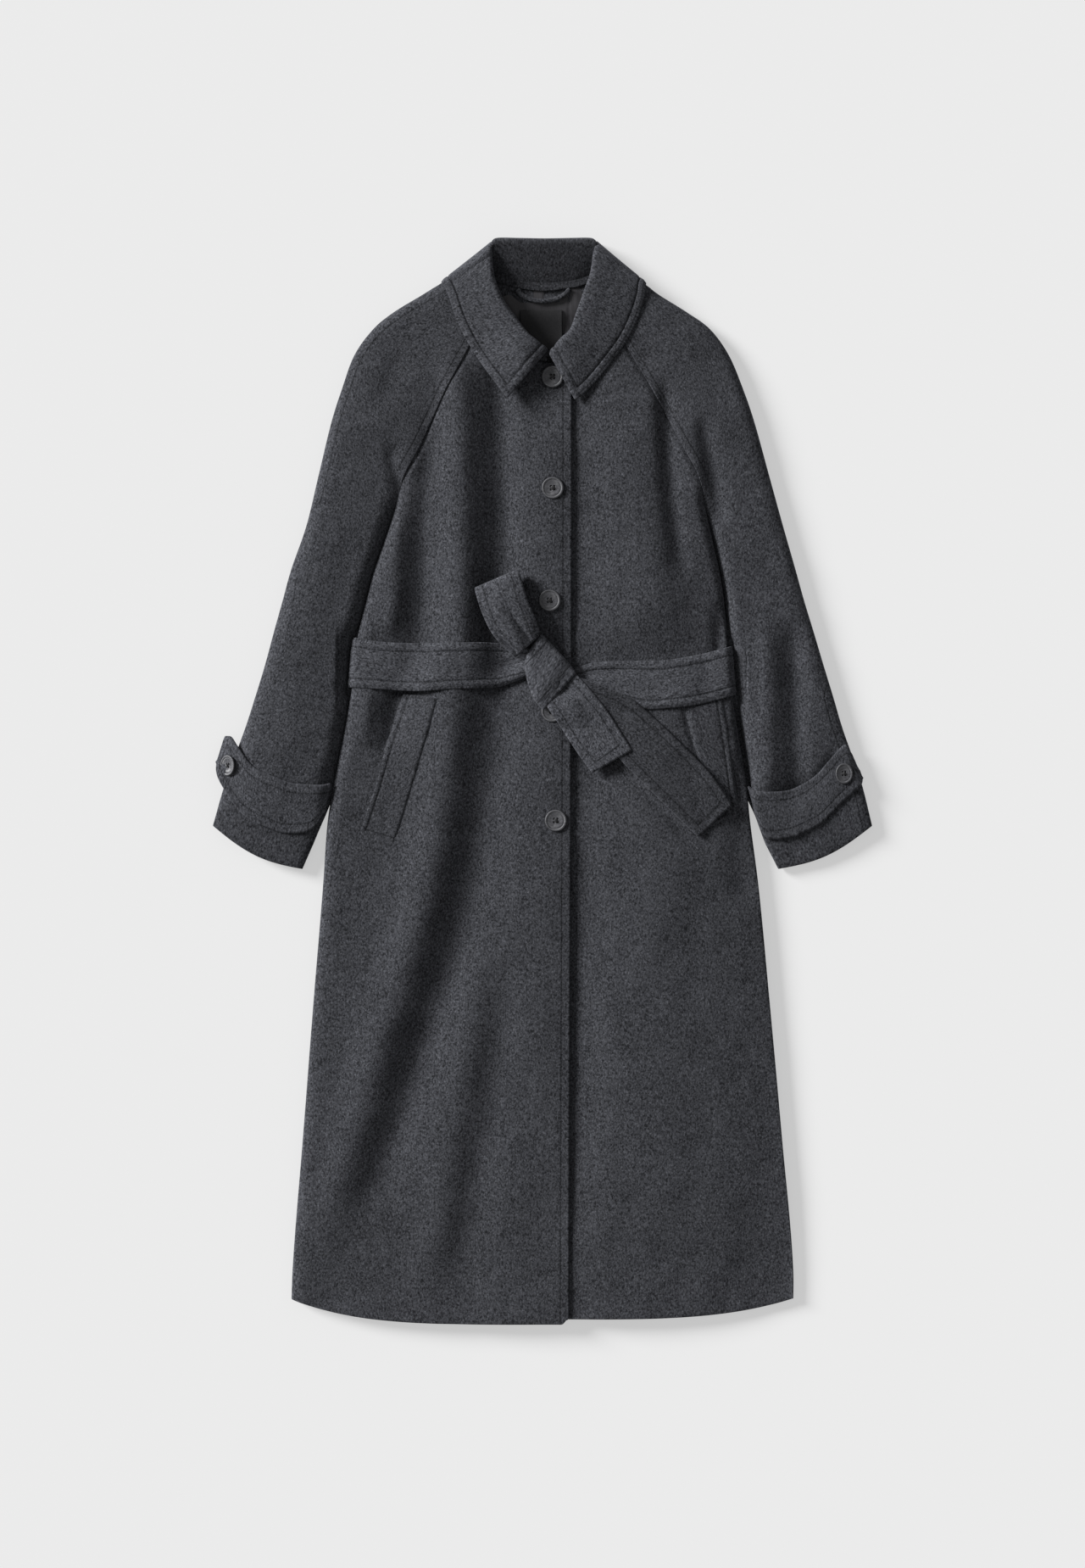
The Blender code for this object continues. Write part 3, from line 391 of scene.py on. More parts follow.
class Shade:
    """One output in a material. Arithmetic on it adds Math nodes, add() any other node."""

    def __init__(self, tree, socket=None):
        self.tree, self.socket = tree, socket

    def add(self, kind, settings=None, inputs=None, output=0):
        node = self.tree.nodes.new("ShaderNode" + kind)
        for name, value in (settings or {}).items():
            setattr(node, name, value)
        for name, value in (inputs or {}).items():
            if isinstance(value, Shade):
                self.tree.links.new(value.socket, node.inputs[name])
            else:
                node.inputs[name].default_value = value
        return Shade(self.tree, node.outputs[output])

    def attribute(self, name):
        """The vector stored under this name at each point of the mesh."""
        return self.add("Attribute", {"attribute_name": name}, output=1)

    def parts(self):
        """The three numbers of a vector."""
        return [self.add("SeparateXYZ", None, {0: self}, number) for number in range(3)]

    def into(self, shader, socket):
        self.tree.links.new(self.socket, shader.inputs[socket])

    def raise_surface(self, shader):
        """Raises or sinks the surface by this many millimetres."""
        self.add("Bump", None, {"Height": self, "Distance": 0.001}).into(shader, "Normal")

    def maths(self, operation, other=0.0, turned=False):
        pair = {0: other, 1: self} if turned else {0: self, 1: other}
        return self.add("Math", {"operation": operation}, pair)

    def __add__(self, other):
        return self.maths("ADD", other)

    def __sub__(self, other):
        return self.maths("SUBTRACT", other)

    def __rsub__(self, other):
        return self.maths("SUBTRACT", other, True)

    def __mul__(self, other):
        return self.maths("MULTIPLY", other)

    def __truediv__(self, other):
        return self.maths("DIVIDE", other)

    def __rtruediv__(self, other):
        return self.maths("DIVIDE", other, True)

    def __pow__(self, other):
        return self.maths("POWER", other)

    __radd__ = __add__
    __rmul__ = __mul__

    def bell(self, width):
        """1 where the value is 0, falling to 0 past this width on both sides."""
        return 1 / (1 + (self / width) ** 2.0) ** 2.0

    def mix(self, low, high):
        """Colours from low at 0 to high at 1."""
        settings = {"data_type": "RGBA", "clamp_factor": False}
        return self.add("Mix", settings, {0: self, 6: low, 7: high}, output=2)

    def stretched(self, x, y, z=1.0):
        return self.add("VectorMath", {"operation": "MULTIPLY"}, {0: self, 1: (x, y, z)})

    def noise(self, detail=2.0, roughness=0.5, distortion=0.0):
        inputs = {"Vector": self, "Scale": 1.0, "Detail": detail, "Roughness": roughness}
        return self.add("TexNoise", None, {**inputs, "Distortion": distortion})


def finish(name, **sockets):
    """A Principled material, the grain stored on its mesh and the shader itself."""
    material = bpy.data.materials.new(name)
    material.use_nodes = True
    shader = material.node_tree.nodes["Principled BSDF"]
    for socket, value in sockets.items():
        shader.inputs[socket.replace("_", " ")].default_value = value
    return material, Shade(material.node_tree).attribute("grain"), shader


WOOL_DARK = (0.0050, 0.0052, 0.0064, 1.0)
WOOL_LIGHT = (0.0760, 0.0785, 0.0890, 1.0)
STITCH_LENGTH = 3.4
STITCH_HALF = 1.15  # half the width of a sunk line of stitches
# The stitches' tone below is painted shade, standing in for the shade in their groove.
STITCH_SHADOW = 0.45  # tone of the sunk stitches beside that of the dark fibres


def toned(colour, tone):
    return (*(tone * channel for channel in colour[:3]), 1.0)


def melange_wool(name, tone=1.0):
    """Brushed wool of dark and pale fibres, with lines of sunk stitches.

    tone scales both fibre colours: above 1 the wool is painted light, below 1 painted shade. Its lines of
    stitches are darkened with painted shade.
    """
    dark, light = toned(WOOL_DARK, tone), toned(WOOL_LIGHT, tone)
    material, grain, shader = finish(
        name, Roughness=0.94, Specular_IOR_Level=0.15, Sheen_Weight=0.1, Sheen_Roughness=0.5
    )
    shader.inputs["Sheen Tint"].default_value = (0.86, 0.88, 1.0, 1.0)
    distance, run, there = grain.attribute("stitch").parts()
    hairs = grain.stretched(0.50, 0.35).noise(detail=1.0, roughness=0.6, distortion=0.3)
    flecks = grain.stretched(0.74, 0.52).noise(detail=1.0, roughness=0.6)
    felt = grain.stretched(0.16, 0.10).noise(roughness=0.55)
    cloud = grain.stretched(0.022, 0.014).noise()
    pale = (flecks - 0.54).maths("MAXIMUM", 0.0)
    level = 0.40 + 1.75 * (hairs - 0.5) + 3.3 * pale + 0.30 * (felt - 0.5) + 0.25 * (cloud - 0.5)
    dash = (run * (2 * math.pi / STITCH_LENGTH)).maths("COSINE")
    sunk_and_shaded = distance.bell(STITCH_HALF) * there.maths("MINIMUM", 1.0) * (0.8 + 0.2 * dash)
    colour = level.maths("MAXIMUM", 0.05).maths("MINIMUM", 1.8).mix(dark, light)
    # Painted shade darkens the colour along the sunk lines of stitches; the same mask also sinks them.
    (0.74 * sunk_and_shaded).mix(colour, toned(dark, STITCH_SHADOW)).into(shader, "Base Color")
    (0.24 * hairs + 0.12 * flecks + 0.25 * felt - 0.3 * sunk_and_shaded).raise_surface(shader)
    return material


coat_wool = melange_wool("coat_wool")


def part(obj, node=None):
    """Says which body the object rides, which node of the part it replaces."""
    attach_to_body(obj, "root")
    if node:
        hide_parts(node)
    return obj


def turned_columns(columns, left, right, left_reach, right_reach, amount, turns=7):
    """x of every column between two rolled edges, and how far down each one is."""
    turn = np.linspace(0, math.pi / 2, turns)[None, :-1]
    near, near_low = rolled(turn, left_reach, amount)
    far, far_low = rolled(turn, right_reach, amount)
    share = np.linspace(0, 1, columns)[None]
    flat = left + left_reach + share * (right - left - left_reach - right_reach)
    x = np.hstack([left + near, flat, (right - far)[:, ::-1]])
    return x, np.hstack([near_low, np.zeros_like(flat), far_low[:, ::-1]])


edge_y = np.linspace(BACK_NECK_Y, HEM_Y, 190)[:, None]
back_left, back_right = body_edge(-1, edge_y), body_edge(1, edge_y)
x, lower = turned_columns(70, back_left, back_right, UNDER_ROLL, UNDER_ROLL, trough(edge_y))
down = (BACK_NECK_Y - edge_y) / (BACK_NECK_Y - HEM_Y)
neck_y = 561 + 5 * np.clip(np.abs((x - 3) / 43), 0, 1) ** 2
hem_x = between(HEM_LEFT, HEM_RIGHT, (x - back_left) / (back_right - back_left))
y = neck_y + (np.minimum(hem(hem_x) + 2.5, HEM_Y) - neck_y) * down
z = under_height(x, y)
creases = np.maximum(crease_height(BACK_CREASES, x, y), 0)
z = z + (seam_height(x, y) - SEAM_HALF - z) * lower + creases * (1 - lower)
back = part(shell("back_panel", (x, y, z), coat_wool, CLOTH / 2, rim=CUT_RIM), "back")

# Fronts.
# Each front is one panel with a facing turned in at the closing edge and stitched 8 mm
# from it. The left front lies over the right one, and both roll down to the side seams.
OVERLAP = 85.0
OVERLAP_STEP = 4.2
LEFT_ROLL = 14.0
RIGHT_ROLL = (  # y, width of the rolled edge
    (-585, 15), (-300, 22), (-180, 34), (-70, 38), (-10, 20), (40, 9), (250, 11), (566, 16),
)
EDGE_X, HEM_EDGE_X = 32.0, 29.0  # x of the closing edge at the neck and at the hem
EDGE_TURNS = 9  # places round each rolled edge
STITCH_IN = 8.0  # from a finished edge to the line of stitches
FRONT_NECKLINE = (
    (-67, 523), (-46, 502), (-35, 488), (-15, 476), (8, 470), (32, 470), (48, 485), (61, 505), (74, 523),
)


def turned_edge(distance, puff, sink):
    """Extra thickness beside a finished edge: a soft lip between it and the sunk stitches."""
    lip = puff * swell(distance - 0.5 * STITCH_IN, 3.4)
    rounding = 0.7 * swell(distance, 1.6)
    dip = 0.3 * sink * swell(distance - STITCH_IN, 3.0)
    return lip - rounding - dip - sink * swell(distance - STITCH_IN, 1.0)


def front_edge(y):
    """x of the left front's closing edge."""
    return between(EDGE_X, HEM_EDGE_X, ease((460 - y) / 1070))


def front_y(x_top, edge_y, hem_y):
    """y of a front's rows, which start along the neckline and end along the hem."""
    down = (NECK_Y - edge_y) / (NECK_Y - HEM_Y)
    return between(read(FRONT_NECKLINE, x_top), hem_y, down)


# Distances from the closing edge of the columns beside it.
EDGE_STEPS = np.array([16, 13.5, 11.5, 10.2, 9.2, 8.4, 7.6, 6.8, 5.8, 4.6, 3.2, 1.8, 0.8, 0.0])
edge_y = np.linspace(NECK_Y, HEM_Y, 300)[:, None]
centre = front_edge(edge_y)
right = body_edge(1, edge_y)
under_part = np.array([-OVERLAP, -70, -55, -40, -28, -18, -10, -4, 0])[None]
roll = read(RIGHT_ROLL, edge_y)
x, lower = turned_columns(84, centre + 3, right, 0.0, roll, trough(edge_y), EDGE_TURNS)
x = np.hstack([centre + under_part * np.minimum(1, (right - centre) / 80), x[:, EDGE_TURNS - 1:]])
lower = np.hstack([np.zeros((len(edge_y), under_part.size)), lower[:, EDGE_TURNS - 1:]])
across = np.maximum(x - centre, 0) / (right - centre)
x_top = between(EDGE_X, FRONT_NECKLINE[-1][0], across)
hem_x = x + (HEM_RIGHT - right) * across
y = front_y(x_top, edge_y, np.maximum(hem(np.maximum(hem_x, EDGE_X)), -607.5))
z = top_height(x, y)
step = OVERLAP_STEP + 1.2 * swell(y + 250, 170) - 1.2 * ease((-440 - y) / 120)
z = z - step * (1 - ease((x - centre - 6) / (24 + 5 * step)))
z = z + (seam_height(x, y) + SEAM_HALF - z) * lower - seam_dip(right - x, edge_y)
front_right = part(shell("right_front", (x, y, z), coat_wool, CLOTH / 2, rim=CUT_RIM), "front_right")

left = body_edge(-1, edge_y)
steps = EDGE_STEPS[None] * np.minimum(1, (centre - left) / 100)
x, lower = turned_columns(78, left, centre - steps[:, :1], LEFT_ROLL, 0.0, trough(edge_y), EDGE_TURNS)
x = np.hstack([x[:, :1 - EDGE_TURNS], centre - steps[:, 1:]])
lower = np.hstack([lower[:, :1 - EDGE_TURNS], np.zeros((len(edge_y), EDGE_STEPS.size - 1))])
across = (x - left) / (centre - left)
x_top, hem_x = between(FRONT_NECKLINE[0][0], EDGE_X, across), between(HEM_LEFT, HEM_EDGE_X, across)
y = front_y(x_top, edge_y, hem(hem_x))
from_edge = centre - x
y = y + 6.0 * ease((y + 604) / -9) * ease((9 - from_edge) / 9) ** 2  # the lower corner is rounded
z = top_height(x, y)
z = z + (seam_height(x, y) + SEAM_HALF - z) * lower - seam_dip(x - left, edge_y)
lip = turned_edge(from_edge, puff=0.6, sink=0.9)
stitch = (from_edge - STITCH_IN, y)
front_left = shell("left_front", (x, y, z), coat_wool, CLOTH / 2 + lip, CLOTH / 2, rim=1.4, stitch=stitch)
part(front_left, "front_left")

# Raglan sleeves.
# Each sleeve is a front and a back piece that run up to the neck, joined along the
# underarm and over the shoulder. The raglan seam is stitched down on the sleeve's side.
SLEEVE_ROWS = (  # inner y front, inner y back, outer y, left outer x, right outer x, drop
    (523, 566, 580, -69, 71, 0), (505, 545, 566, -103, 105, 0), (492, 525, 557, -119, 119, 0),
    (478, 505, 548, -134, 131, 0), (446, 460, 528, -167, 163, 0), (424, 430, 509, -190, 189, 0),
    (400, 402, 480, -211, 210, 0), (375, 375, 442, -225, 226, 0), (346, 346, 404, -237, 239, 0),
    (300, 300, 346, -251, 255, 0), (247, 247, 288, -265, 271, 0), (200, 200, 239, -282, 285, 0),
    (165, 165, 203, -292, 295, 0), (130, 130, 167, -302, 306, 0), (94, 94, 130, -312, 317, 0),
    (58, 58, 94, -323, 328, 0), (20, 20, 57, -335, 339, 0), (-40, -40, 0, -356, 359, 2),
    (-99, -99, -51, -371, 372, 5),
)
FRONT_AWAY = (  # y, distance of the inner edge from the body's edge, on the left and right
    (-99, 27.0, 27.0), (-70, 16.0, 16.0), (-40, 6.0, 9.0), (-10, 1.9, 8.0), (84, 1.9, 8.2), (91, 3.0, 8.5),
    (99, 8.4, 8.6), (155, 8.6, 8.4), (163, 8.4, 5.4), (175, 3.0, 5.0), (260, 1.9, 3.6), (300, 1.9, 1.9),
    (346, 1.2, 1.2), (375, 0.7, 0.7), (400, 0.3, 0.3), (566, 0.3, 0.3),
)
BACK_AWAY = (
    (-99, 27.0, 27.0), (-70, 16.0, 16.0), (-40, 6.0, 9.0), (-14, -0.8, -0.8), (100, -0.8, -0.8),
    (106, -0.8, 2.4), (114, 2.4, 2.4), (144, 2.4, 2.4), (152, 2.4, -0.8), (160, -0.8, -0.8),
    (300, -0.8, -0.8), (346, 0.0, 0.0), (400, 0.3, 0.3), (566, 0.3, 0.3),
)
OUTER_ROLL = 16.0
OVERARM_IN = 9.5  # from the sleeve's outer edge to the stitches of its overarm seam
INNER_ROLL = {-1: 19.0, 1: 14.0}


def sleeve_grid(side, is_front, rows, columns):
    """Places on one half of a sleeve, with their distances from its seams and along it."""
    length = distance_along(np.array([(row[3 if side < 0 else 4], row[2]) for row in SLEEVE_ROWS], float))
    at = np.interp(np.linspace(0, length[-1], rows), length, np.arange(len(SLEEVE_ROWS)))[:, None]
    front_y, back_y, outer_y, left_x, right_x, drop = all_columns(SLEEVE_ROWS, at)
    inner_y = front_y if is_front else back_y
    outer_x = left_x if side < 0 else right_x
    away_y, *away = np.array(FRONT_AWAY if is_front else BACK_AWAY).T
    inner_x = body_edge(side, inner_y) + side * np.interp(inner_y, away_y, away[side > 0])
    width = np.hypot(inner_x - outer_x, inner_y - outer_y)
    ux, uy = (inner_x - outer_x) / width, (inner_y - outer_y) / width
    outer_reach = np.minimum(OUTER_ROLL if is_front else UNDER_ROLL, width * 0.3)
    inner_reach = np.minimum(INNER_ROLL[side] if is_front else UNDER_ROLL, width * 0.3)
    turn = np.linspace(0, math.pi / 2, 12 if is_front else 6)[None, :-1]
    near, near_low = rolled(turn, outer_reach, np.ones_like(width))
    beside_body = trough(inner_y) * ease((inner_y + 15) / 25)  # the back lies flat, under the body's edge
    inner_turn = np.linspace(0, math.pi / 2, 32 if is_front else 6)[None, :-1]
    far, far_low = rolled(inner_turn, inner_reach, trough(inner_y) * (1 if is_front else 1 - beside_body))
    share = np.linspace(0, 1, columns)[None]
    flat = outer_reach + share * (width - outer_reach - inner_reach)
    place = np.hstack([near, flat, (width - far)[:, ::-1]])
    lower = np.hstack([near_low, np.zeros_like(flat), far_low[:, ::-1]])
    x, y = outer_x + ux * place, outer_y + uy * place
    near_cuff = ease((at - 16) / 2)
    bulge = 9.0 * near_cuff ** 1.5 * np.sin(math.pi * place / width)
    x, y = x + side * bulge * 0.22, y - bulge
    level = top_height(x, y) - drop if is_front else under_height(x, y)
    joint = (TOP - drop + under_height(x, y)) / 2 + (SEAM_HALF if is_front else -SEAM_HALF)
    if is_front:
        joint = joint + (CLOTH + 1.1 - joint) * beside_body * (place > width / 2)
    z = between(level, joint, lower)
    along = np.interp(at, np.arange(len(SLEEVE_ROWS)), length) + 0 * x
    return (x, y, z), width - place, place, along, inner_y + 0 * x


for side, hand in ((-1, "left"), (1, "right")):
    points, _, from_outer, along, _ = sleeve_grid(side, is_front=False, rows=150, columns=26)
    facing = 1 if side < 0 else -1
    grain = (from_outer, along)
    sleeve_back = shell(
        f"{hand}_sleeve_back", points, coat_wool, CLOTH / 2, rim=CUT_RIM, grain=grain, facing=facing
    )
    part(sleeve_back, f"sleeve_{hand}_back")

    points, from_seam, from_outer, along, inner_y = sleeve_grid(side, is_front=True, rows=195, columns=44)
    sewn = ease((inner_y - ARMPIT_Y + 6) / 5)
    lip = (1.3 * ease((STITCH_IN + 1 - from_seam) / 3) + turned_edge(from_seam, puff=0.3, sink=1.3)) * sewn
    # The overarm seam shows above the elbow on the left and near the cuff on the right.
    overarm_shown = ease((400 - along) / 60) if side < 0 else ease((along - 520) / 60)
    raglan_line = np.where(sewn > 0.5, from_seam - STITCH_IN, 60.0)
    overarm_line = from_outer - OVERARM_IN + 40 * (1 - overarm_shown)
    line = np.where(np.abs(raglan_line) < np.abs(overarm_line), raglan_line, overarm_line)
    sleeve_front = shell(
        f"{hand}_sleeve_front", points, coat_wool, CLOTH / 2 + lip, CLOTH / 2, rim=CUT_RIM,
        grain=(from_outer, along), stitch=(line, along), facing=facing,
    )
    part(sleeve_front, f"sleeve_{hand}_front")

# Neck lining.
# A smooth satin-woven lining hangs in the neck below a wool facing. It has a pleat at the
# centre back and a seam on the right, and lies on the back panel and the sleeves.
LINING = 1.0
LINING_ROWS = (  # y, left x, right x
    (558, -37, 42), (545, -48, 54), (525, -58, 64), (500, -62, 68), (470, -62, 68), (445, -60, 66),
)
LINING_CREASES = (
    (34, 556, 40, 540, 44, 520, 5, 6, 1.2, 0.8), (22, 548, 30, 538, 40, 530, 3, 3, 0.8, 0.6),
    (-40, 545, -34, 530, -30, 505, 6, 6, 0.9, 0.8), (52, 540, 50, 520, 46, 495, 6, 7, 1.2, 1.2),
)


def height_of(names, x, y, lowest=0.0):
    """Highest point of these finished pieces at each place."""
    down = Vector((0, 0, -1))
    heights = []
    for place in zip(x.ravel().tolist(), y.ravel().tolist()):
        hits = [tops[name].ray_cast(Vector((*place, 150)), down)[0] for name in names]
        heights.append(max([lowest] + [hit.z for hit in hits if hit]))
    return np.array(heights).reshape(x.shape)


def settled(height, rows, columns):
    """The heights a stiffer piece takes up: it bridges hollows and never dips below them."""
    for axis, reach in ((0, rows), (1, columns)):
        if reach:
            pad = [(0, 0), (0, 0)]
            pad[axis] = (reach, reach)
            for gather in (np.max, np.mean):
                padded = np.pad(height, pad, mode="edge")
                height = gather(np.lib.stride_tricks.sliding_window_view(padded, 2 * reach + 1, axis), -1)
    return height


def laid_on(names, x, y, rows, columns, lowest=0.0):
    """The heights at which a stiffer piece lies on these finished pieces."""
    return settled(height_of(names, x, y, lowest), rows, columns)


satin, grain, shader = finish("neck_satin", Roughness=0.46, Specular_IOR_Level=0.4, Sheen_Weight=0.1)
rib = grain.stretched(2.6, 0.05).noise(detail=1.0)
blotch = grain.stretched(0.06, 0.03).noise()
tone = 0.5 + 1.1 * (rib - 0.5) + 0.8 * (blotch - 0.5)
tone.mix((0.019, 0.0185, 0.0205, 1.0), (0.051, 0.0485, 0.0545, 1.0)).into(shader, "Base Color")
(0.03 * rib).raise_surface(shader)

y = np.linspace(560, 446, 58)[:, None]
share = np.linspace(0, 1, 66)[None]
x = between(*pair(LINING_ROWS, y), share)
y = y - 4.0 * (1 - ((x - 3) / 60) ** 2) * ease((y - 520) / 38)
pleat = 0.8 * ease((y - 533) / 6) * (ease((1.6 - x) / 1.2) - ease((1.6 - x) / 14))
seam = -0.7 * swell(x - 30.5, 0.8)
z = laid_on(["back_panel", "left_sleeve_back", "right_sleeve_back"], x, y, 3, 3) + 1.2
z = z + np.maximum(crease_height(LINING_CREASES, x, y), 0) + pleat + seam + 0.7
lining = shell("lining_in_neck", (x, y, z), satin, LINING / 2, facing=-1)
part(lining, "neck_lining")

# Neck label.
# A bare dark woven label, its edges folded under, sewn down along the top and the sides.
LABEL_SIZE = (47.0, 44.0)
LABEL_CENTRE = (-1.0, 509.5)

woven, grain, shader = finish("label_weave", Roughness=0.6, Specular_IOR_Level=0.3)
warp = grain.stretched(1.9, 0.2).noise(detail=1.0)
weft = grain.stretched(0.25, 3.0).noise(detail=1.0)
tone = 0.5 + 0.9 * (warp - 0.5) + 0.6 * (weft - 0.5)
tone.mix((0.0110, 0.0110, 0.0122, 1.0), (0.0310, 0.0308, 0.0330, 1.0)).into(shader, "Base Color")
(0.05 * (warp + weft)).raise_surface(shader)

across, down = np.meshgrid(np.linspace(-0.5, 0.5, 48), np.linspace(-0.5, 0.5, 46))
x = LABEL_CENTRE[0] + LABEL_SIZE[0] * across + 0.5 * down
y = LABEL_CENTRE[1] - LABEL_SIZE[1] * down + 0.4 * np.sin(6 * across)
inset = np.minimum((0.5 - np.abs(across)) * LABEL_SIZE[0], (0.5 - np.abs(down)) * LABEL_SIZE[1])
border = 0.22 * ease((3.4 - inset) / 0.9) - 0.2 * swell(inset - 1.7, 0.5)
z = laid_on(["lining_in_neck"], x, y, 3, 3) + 0.8
label = shell("bare_label", (x, y, z), woven, 0.4 + border, 0.35, facing=-1)
part(label, "neck_label")

# Hanger loop.
# A soft tube of the coat cloth, caught in the seam under the collar at both ends.
LOOP_POINTS = ((-28, 554.5), (-22, 548), (-10, 543), (2, 541.5), (14, 543.5), (25, 549), (31.5, 555))
LOOP_HALF = (2.9, 1.7)  # half its width and half its height, pressed flat
TUBE_SIDES = 12

at = np.linspace(0, len(LOOP_POINTS) - 1, 74)
line_x, line_y = all_columns(LOOP_POINTS, at)
line_z = laid_on(["lining_in_neck", "bare_label"], line_x[:, None], line_y[:, None], 4, 0)
line_z = line_z[:, 0] + 2.4 + 0.6 * np.sin(at * 1.1) ** 2
heading = unit(np.stack([np.gradient(line_x), np.gradient(line_y), 0 * at], -1))
run = np.cumsum(np.hypot(np.gradient(line_x), np.gradient(line_y)))


def ring_faces(rings, sides):
    """Faces of a closed surface through this many rings of points, both ends capped."""
    number = np.arange(rings * sides).reshape(rings, sides)
    here, there = number[:-1], number[1:]
    faces = np.stack([here, np.roll(here, -1, 1), np.roll(there, -1, 1), there], -1)
    return faces.reshape(-1, 4).tolist() + [number[0, ::-1].tolist(), number[-1].tolist()]


def tube(path, aside, up, half_width, half_height, sides=TUBE_SIDES):
    """Points and faces of a closed flattened tube along a path."""
    turn = np.linspace(0, 2 * math.pi, sides, endpoint=False)[None]
    wide, high = (np.broadcast_to(half, (len(path), 1)) for half in (half_width, half_height))
    ring = path[:, None] + aside[:, None] * (wide * np.cos(turn))[..., None]
    ring = ring + up[:, None] * (high * np.sin(turn))[..., None]
    return ring.reshape(-1, 3), ring_faces(len(path), sides)


path = np.stack([line_x, line_y, line_z], -1)
aside = unit(np.stack([-heading[:, 1], heading[:, 0], 0.35 * np.sin(at * 2.3)], -1))
upward = np.cross(heading, aside)
bends = (1 - 0.16 * np.cos(run * 0.55) ** 8)[:, None]
ring, faces = tube(path, aside, upward, LOOP_HALF[0] * bends, LOOP_HALF[1] / bends)
around = np.tile(np.arange(TUBE_SIDES) * 1.2, len(at))
grain = np.stack([around, np.repeat(run, TUBE_SIDES), around * 0 + 50], -1)
part(in_object("neck_hanger", ring, faces, coat_wool, grain), "hanger_loop")

# Buttons.
# Turned dark horn-like buttons, dished inside a rounded rim, with four holes and a
# crossed thread that also makes a short shank. Three show the buttonhole beside them.
BUTTON_PROFILE = (  # radius, height of the face
    (0.0, 2.35), (5.0, 2.45), (8.6, 2.95), (9.3, 2.85), (9.9, 3.2), (10.8, 3.5), (11.7, 3.4),
    (12.3, 2.9), (12.5, 2.4),
)
BUTTON_UNDERSIDE = ((12.35, 1.7), (11.4, 0.7), (9.5, 0.15), (6.0, 0.0), (0.3, 0.0))  # radius, height
BUTTON_RADIUS = 12.5
HOLE_PLACE = 2.6  # from the button's middle to the middle of each hole
HOLE_RADIUS = 1.2
SECTORS = 64
BUTTON_PLACES = ((11.8, 455.5), (12.0, 329.8), (8.6, 203.0), (11.5, 78.2), (15.5, -45.0))
SHOWN_BUTTONHOLES = (2, 3, 5)  # numbers of the buttons beside them
BUTTONHOLE_HALF = 10.5
BUTTONHOLE_ASIDE = 15.0  # from the button's middle to the buttonhole's
THREAD_HALF = 0.3
SHANK_HALF = 1.7

horn, grain, shader = finish("dark_horn", Roughness=0.4, Specular_IOR_Level=0.5, Anisotropic=0.75)
streak = grain.stretched(0.16, 0.5).noise(detail=3.0, roughness=0.6, distortion=1.2)
aside, ahead, _ = grain.parts()
from_middle = (aside * aside + ahead * ahead).maths("SQRT")
# Darker at the rim's edge and in the groove inside it: partly the horn's darker rim, partly painted shade
# in the groove and round the edge.
turned = (from_middle - 12.3).bell(0.8) + 0.6 * (from_middle - 8.6).bell(0.5)
tone = (0.5 + 2.0 * (streak - 0.5)) * (1.0 - 0.8 * turned)
tone.mix((0.026, 0.0265, 0.030, 1.0), (0.115, 0.116, 0.126, 1.0)).into(shader, "Base Color")
(0.36 + 0.12 * streak).into(shader, "Roughness")

cord_dye, grain, shader = finish("dark_thread", Roughness=0.8, Sheen_Weight=0.2)
ply = grain.stretched(3.0, 1.0).noise(detail=1.0)
ply.mix((0.004, 0.004, 0.005, 1.0), (0.014, 0.014, 0.016, 1.0)).into(shader, "Base Color")
(0.15 * ply).raise_surface(shader)


def button_face(radius, turn):
    """Height of a button's face, with its four holes sunk in."""
    level = read(BUTTON_PROFILE, radius)
    for corner in range(4):
        place = math.pi / 4 + corner * math.pi / 2
        aside = radius * np.cos(turn) - HOLE_PLACE * math.cos(place)
        ahead = radius * np.sin(turn) - HOLE_PLACE * math.sin(place)
        level = level - 2.3 * ease((HOLE_RADIUS + 0.25 - np.hypot(aside, ahead)) / 0.5)
    return level


def button_points():
    """A turned button round the origin, its underside at height 0, as points and faces."""
    radii = np.concatenate([np.linspace(0.25, 4.4, 20), np.linspace(4.8, BUTTON_RADIUS, 24)])[:, None]
    turn = np.linspace(0, 2 * math.pi, SECTORS, endpoint=False)[None]
    face = np.stack([radii * np.cos(turn), radii * np.sin(turn), button_face(radii, turn)], -1)
    radius, level = np.array(BUTTON_UNDERSIDE).T[..., None]
    under = np.stack([radius * np.cos(turn), radius * np.sin(turn), level + 0 * turn], -1)
    rings = np.concatenate([face, under])
    number = np.arange(rings.shape[0] * SECTORS).reshape(-1, SECTORS)
    inner, outer = number[:-1], number[1:]
    faces = np.stack([inner, outer, np.roll(outer, -1, 1), np.roll(inner, -1, 1)], -1)
    ends = [number[0].tolist(), number[-1, ::-1].tolist()]
    return rings.reshape(-1, 3), faces.reshape(-1, 4).tolist() + ends


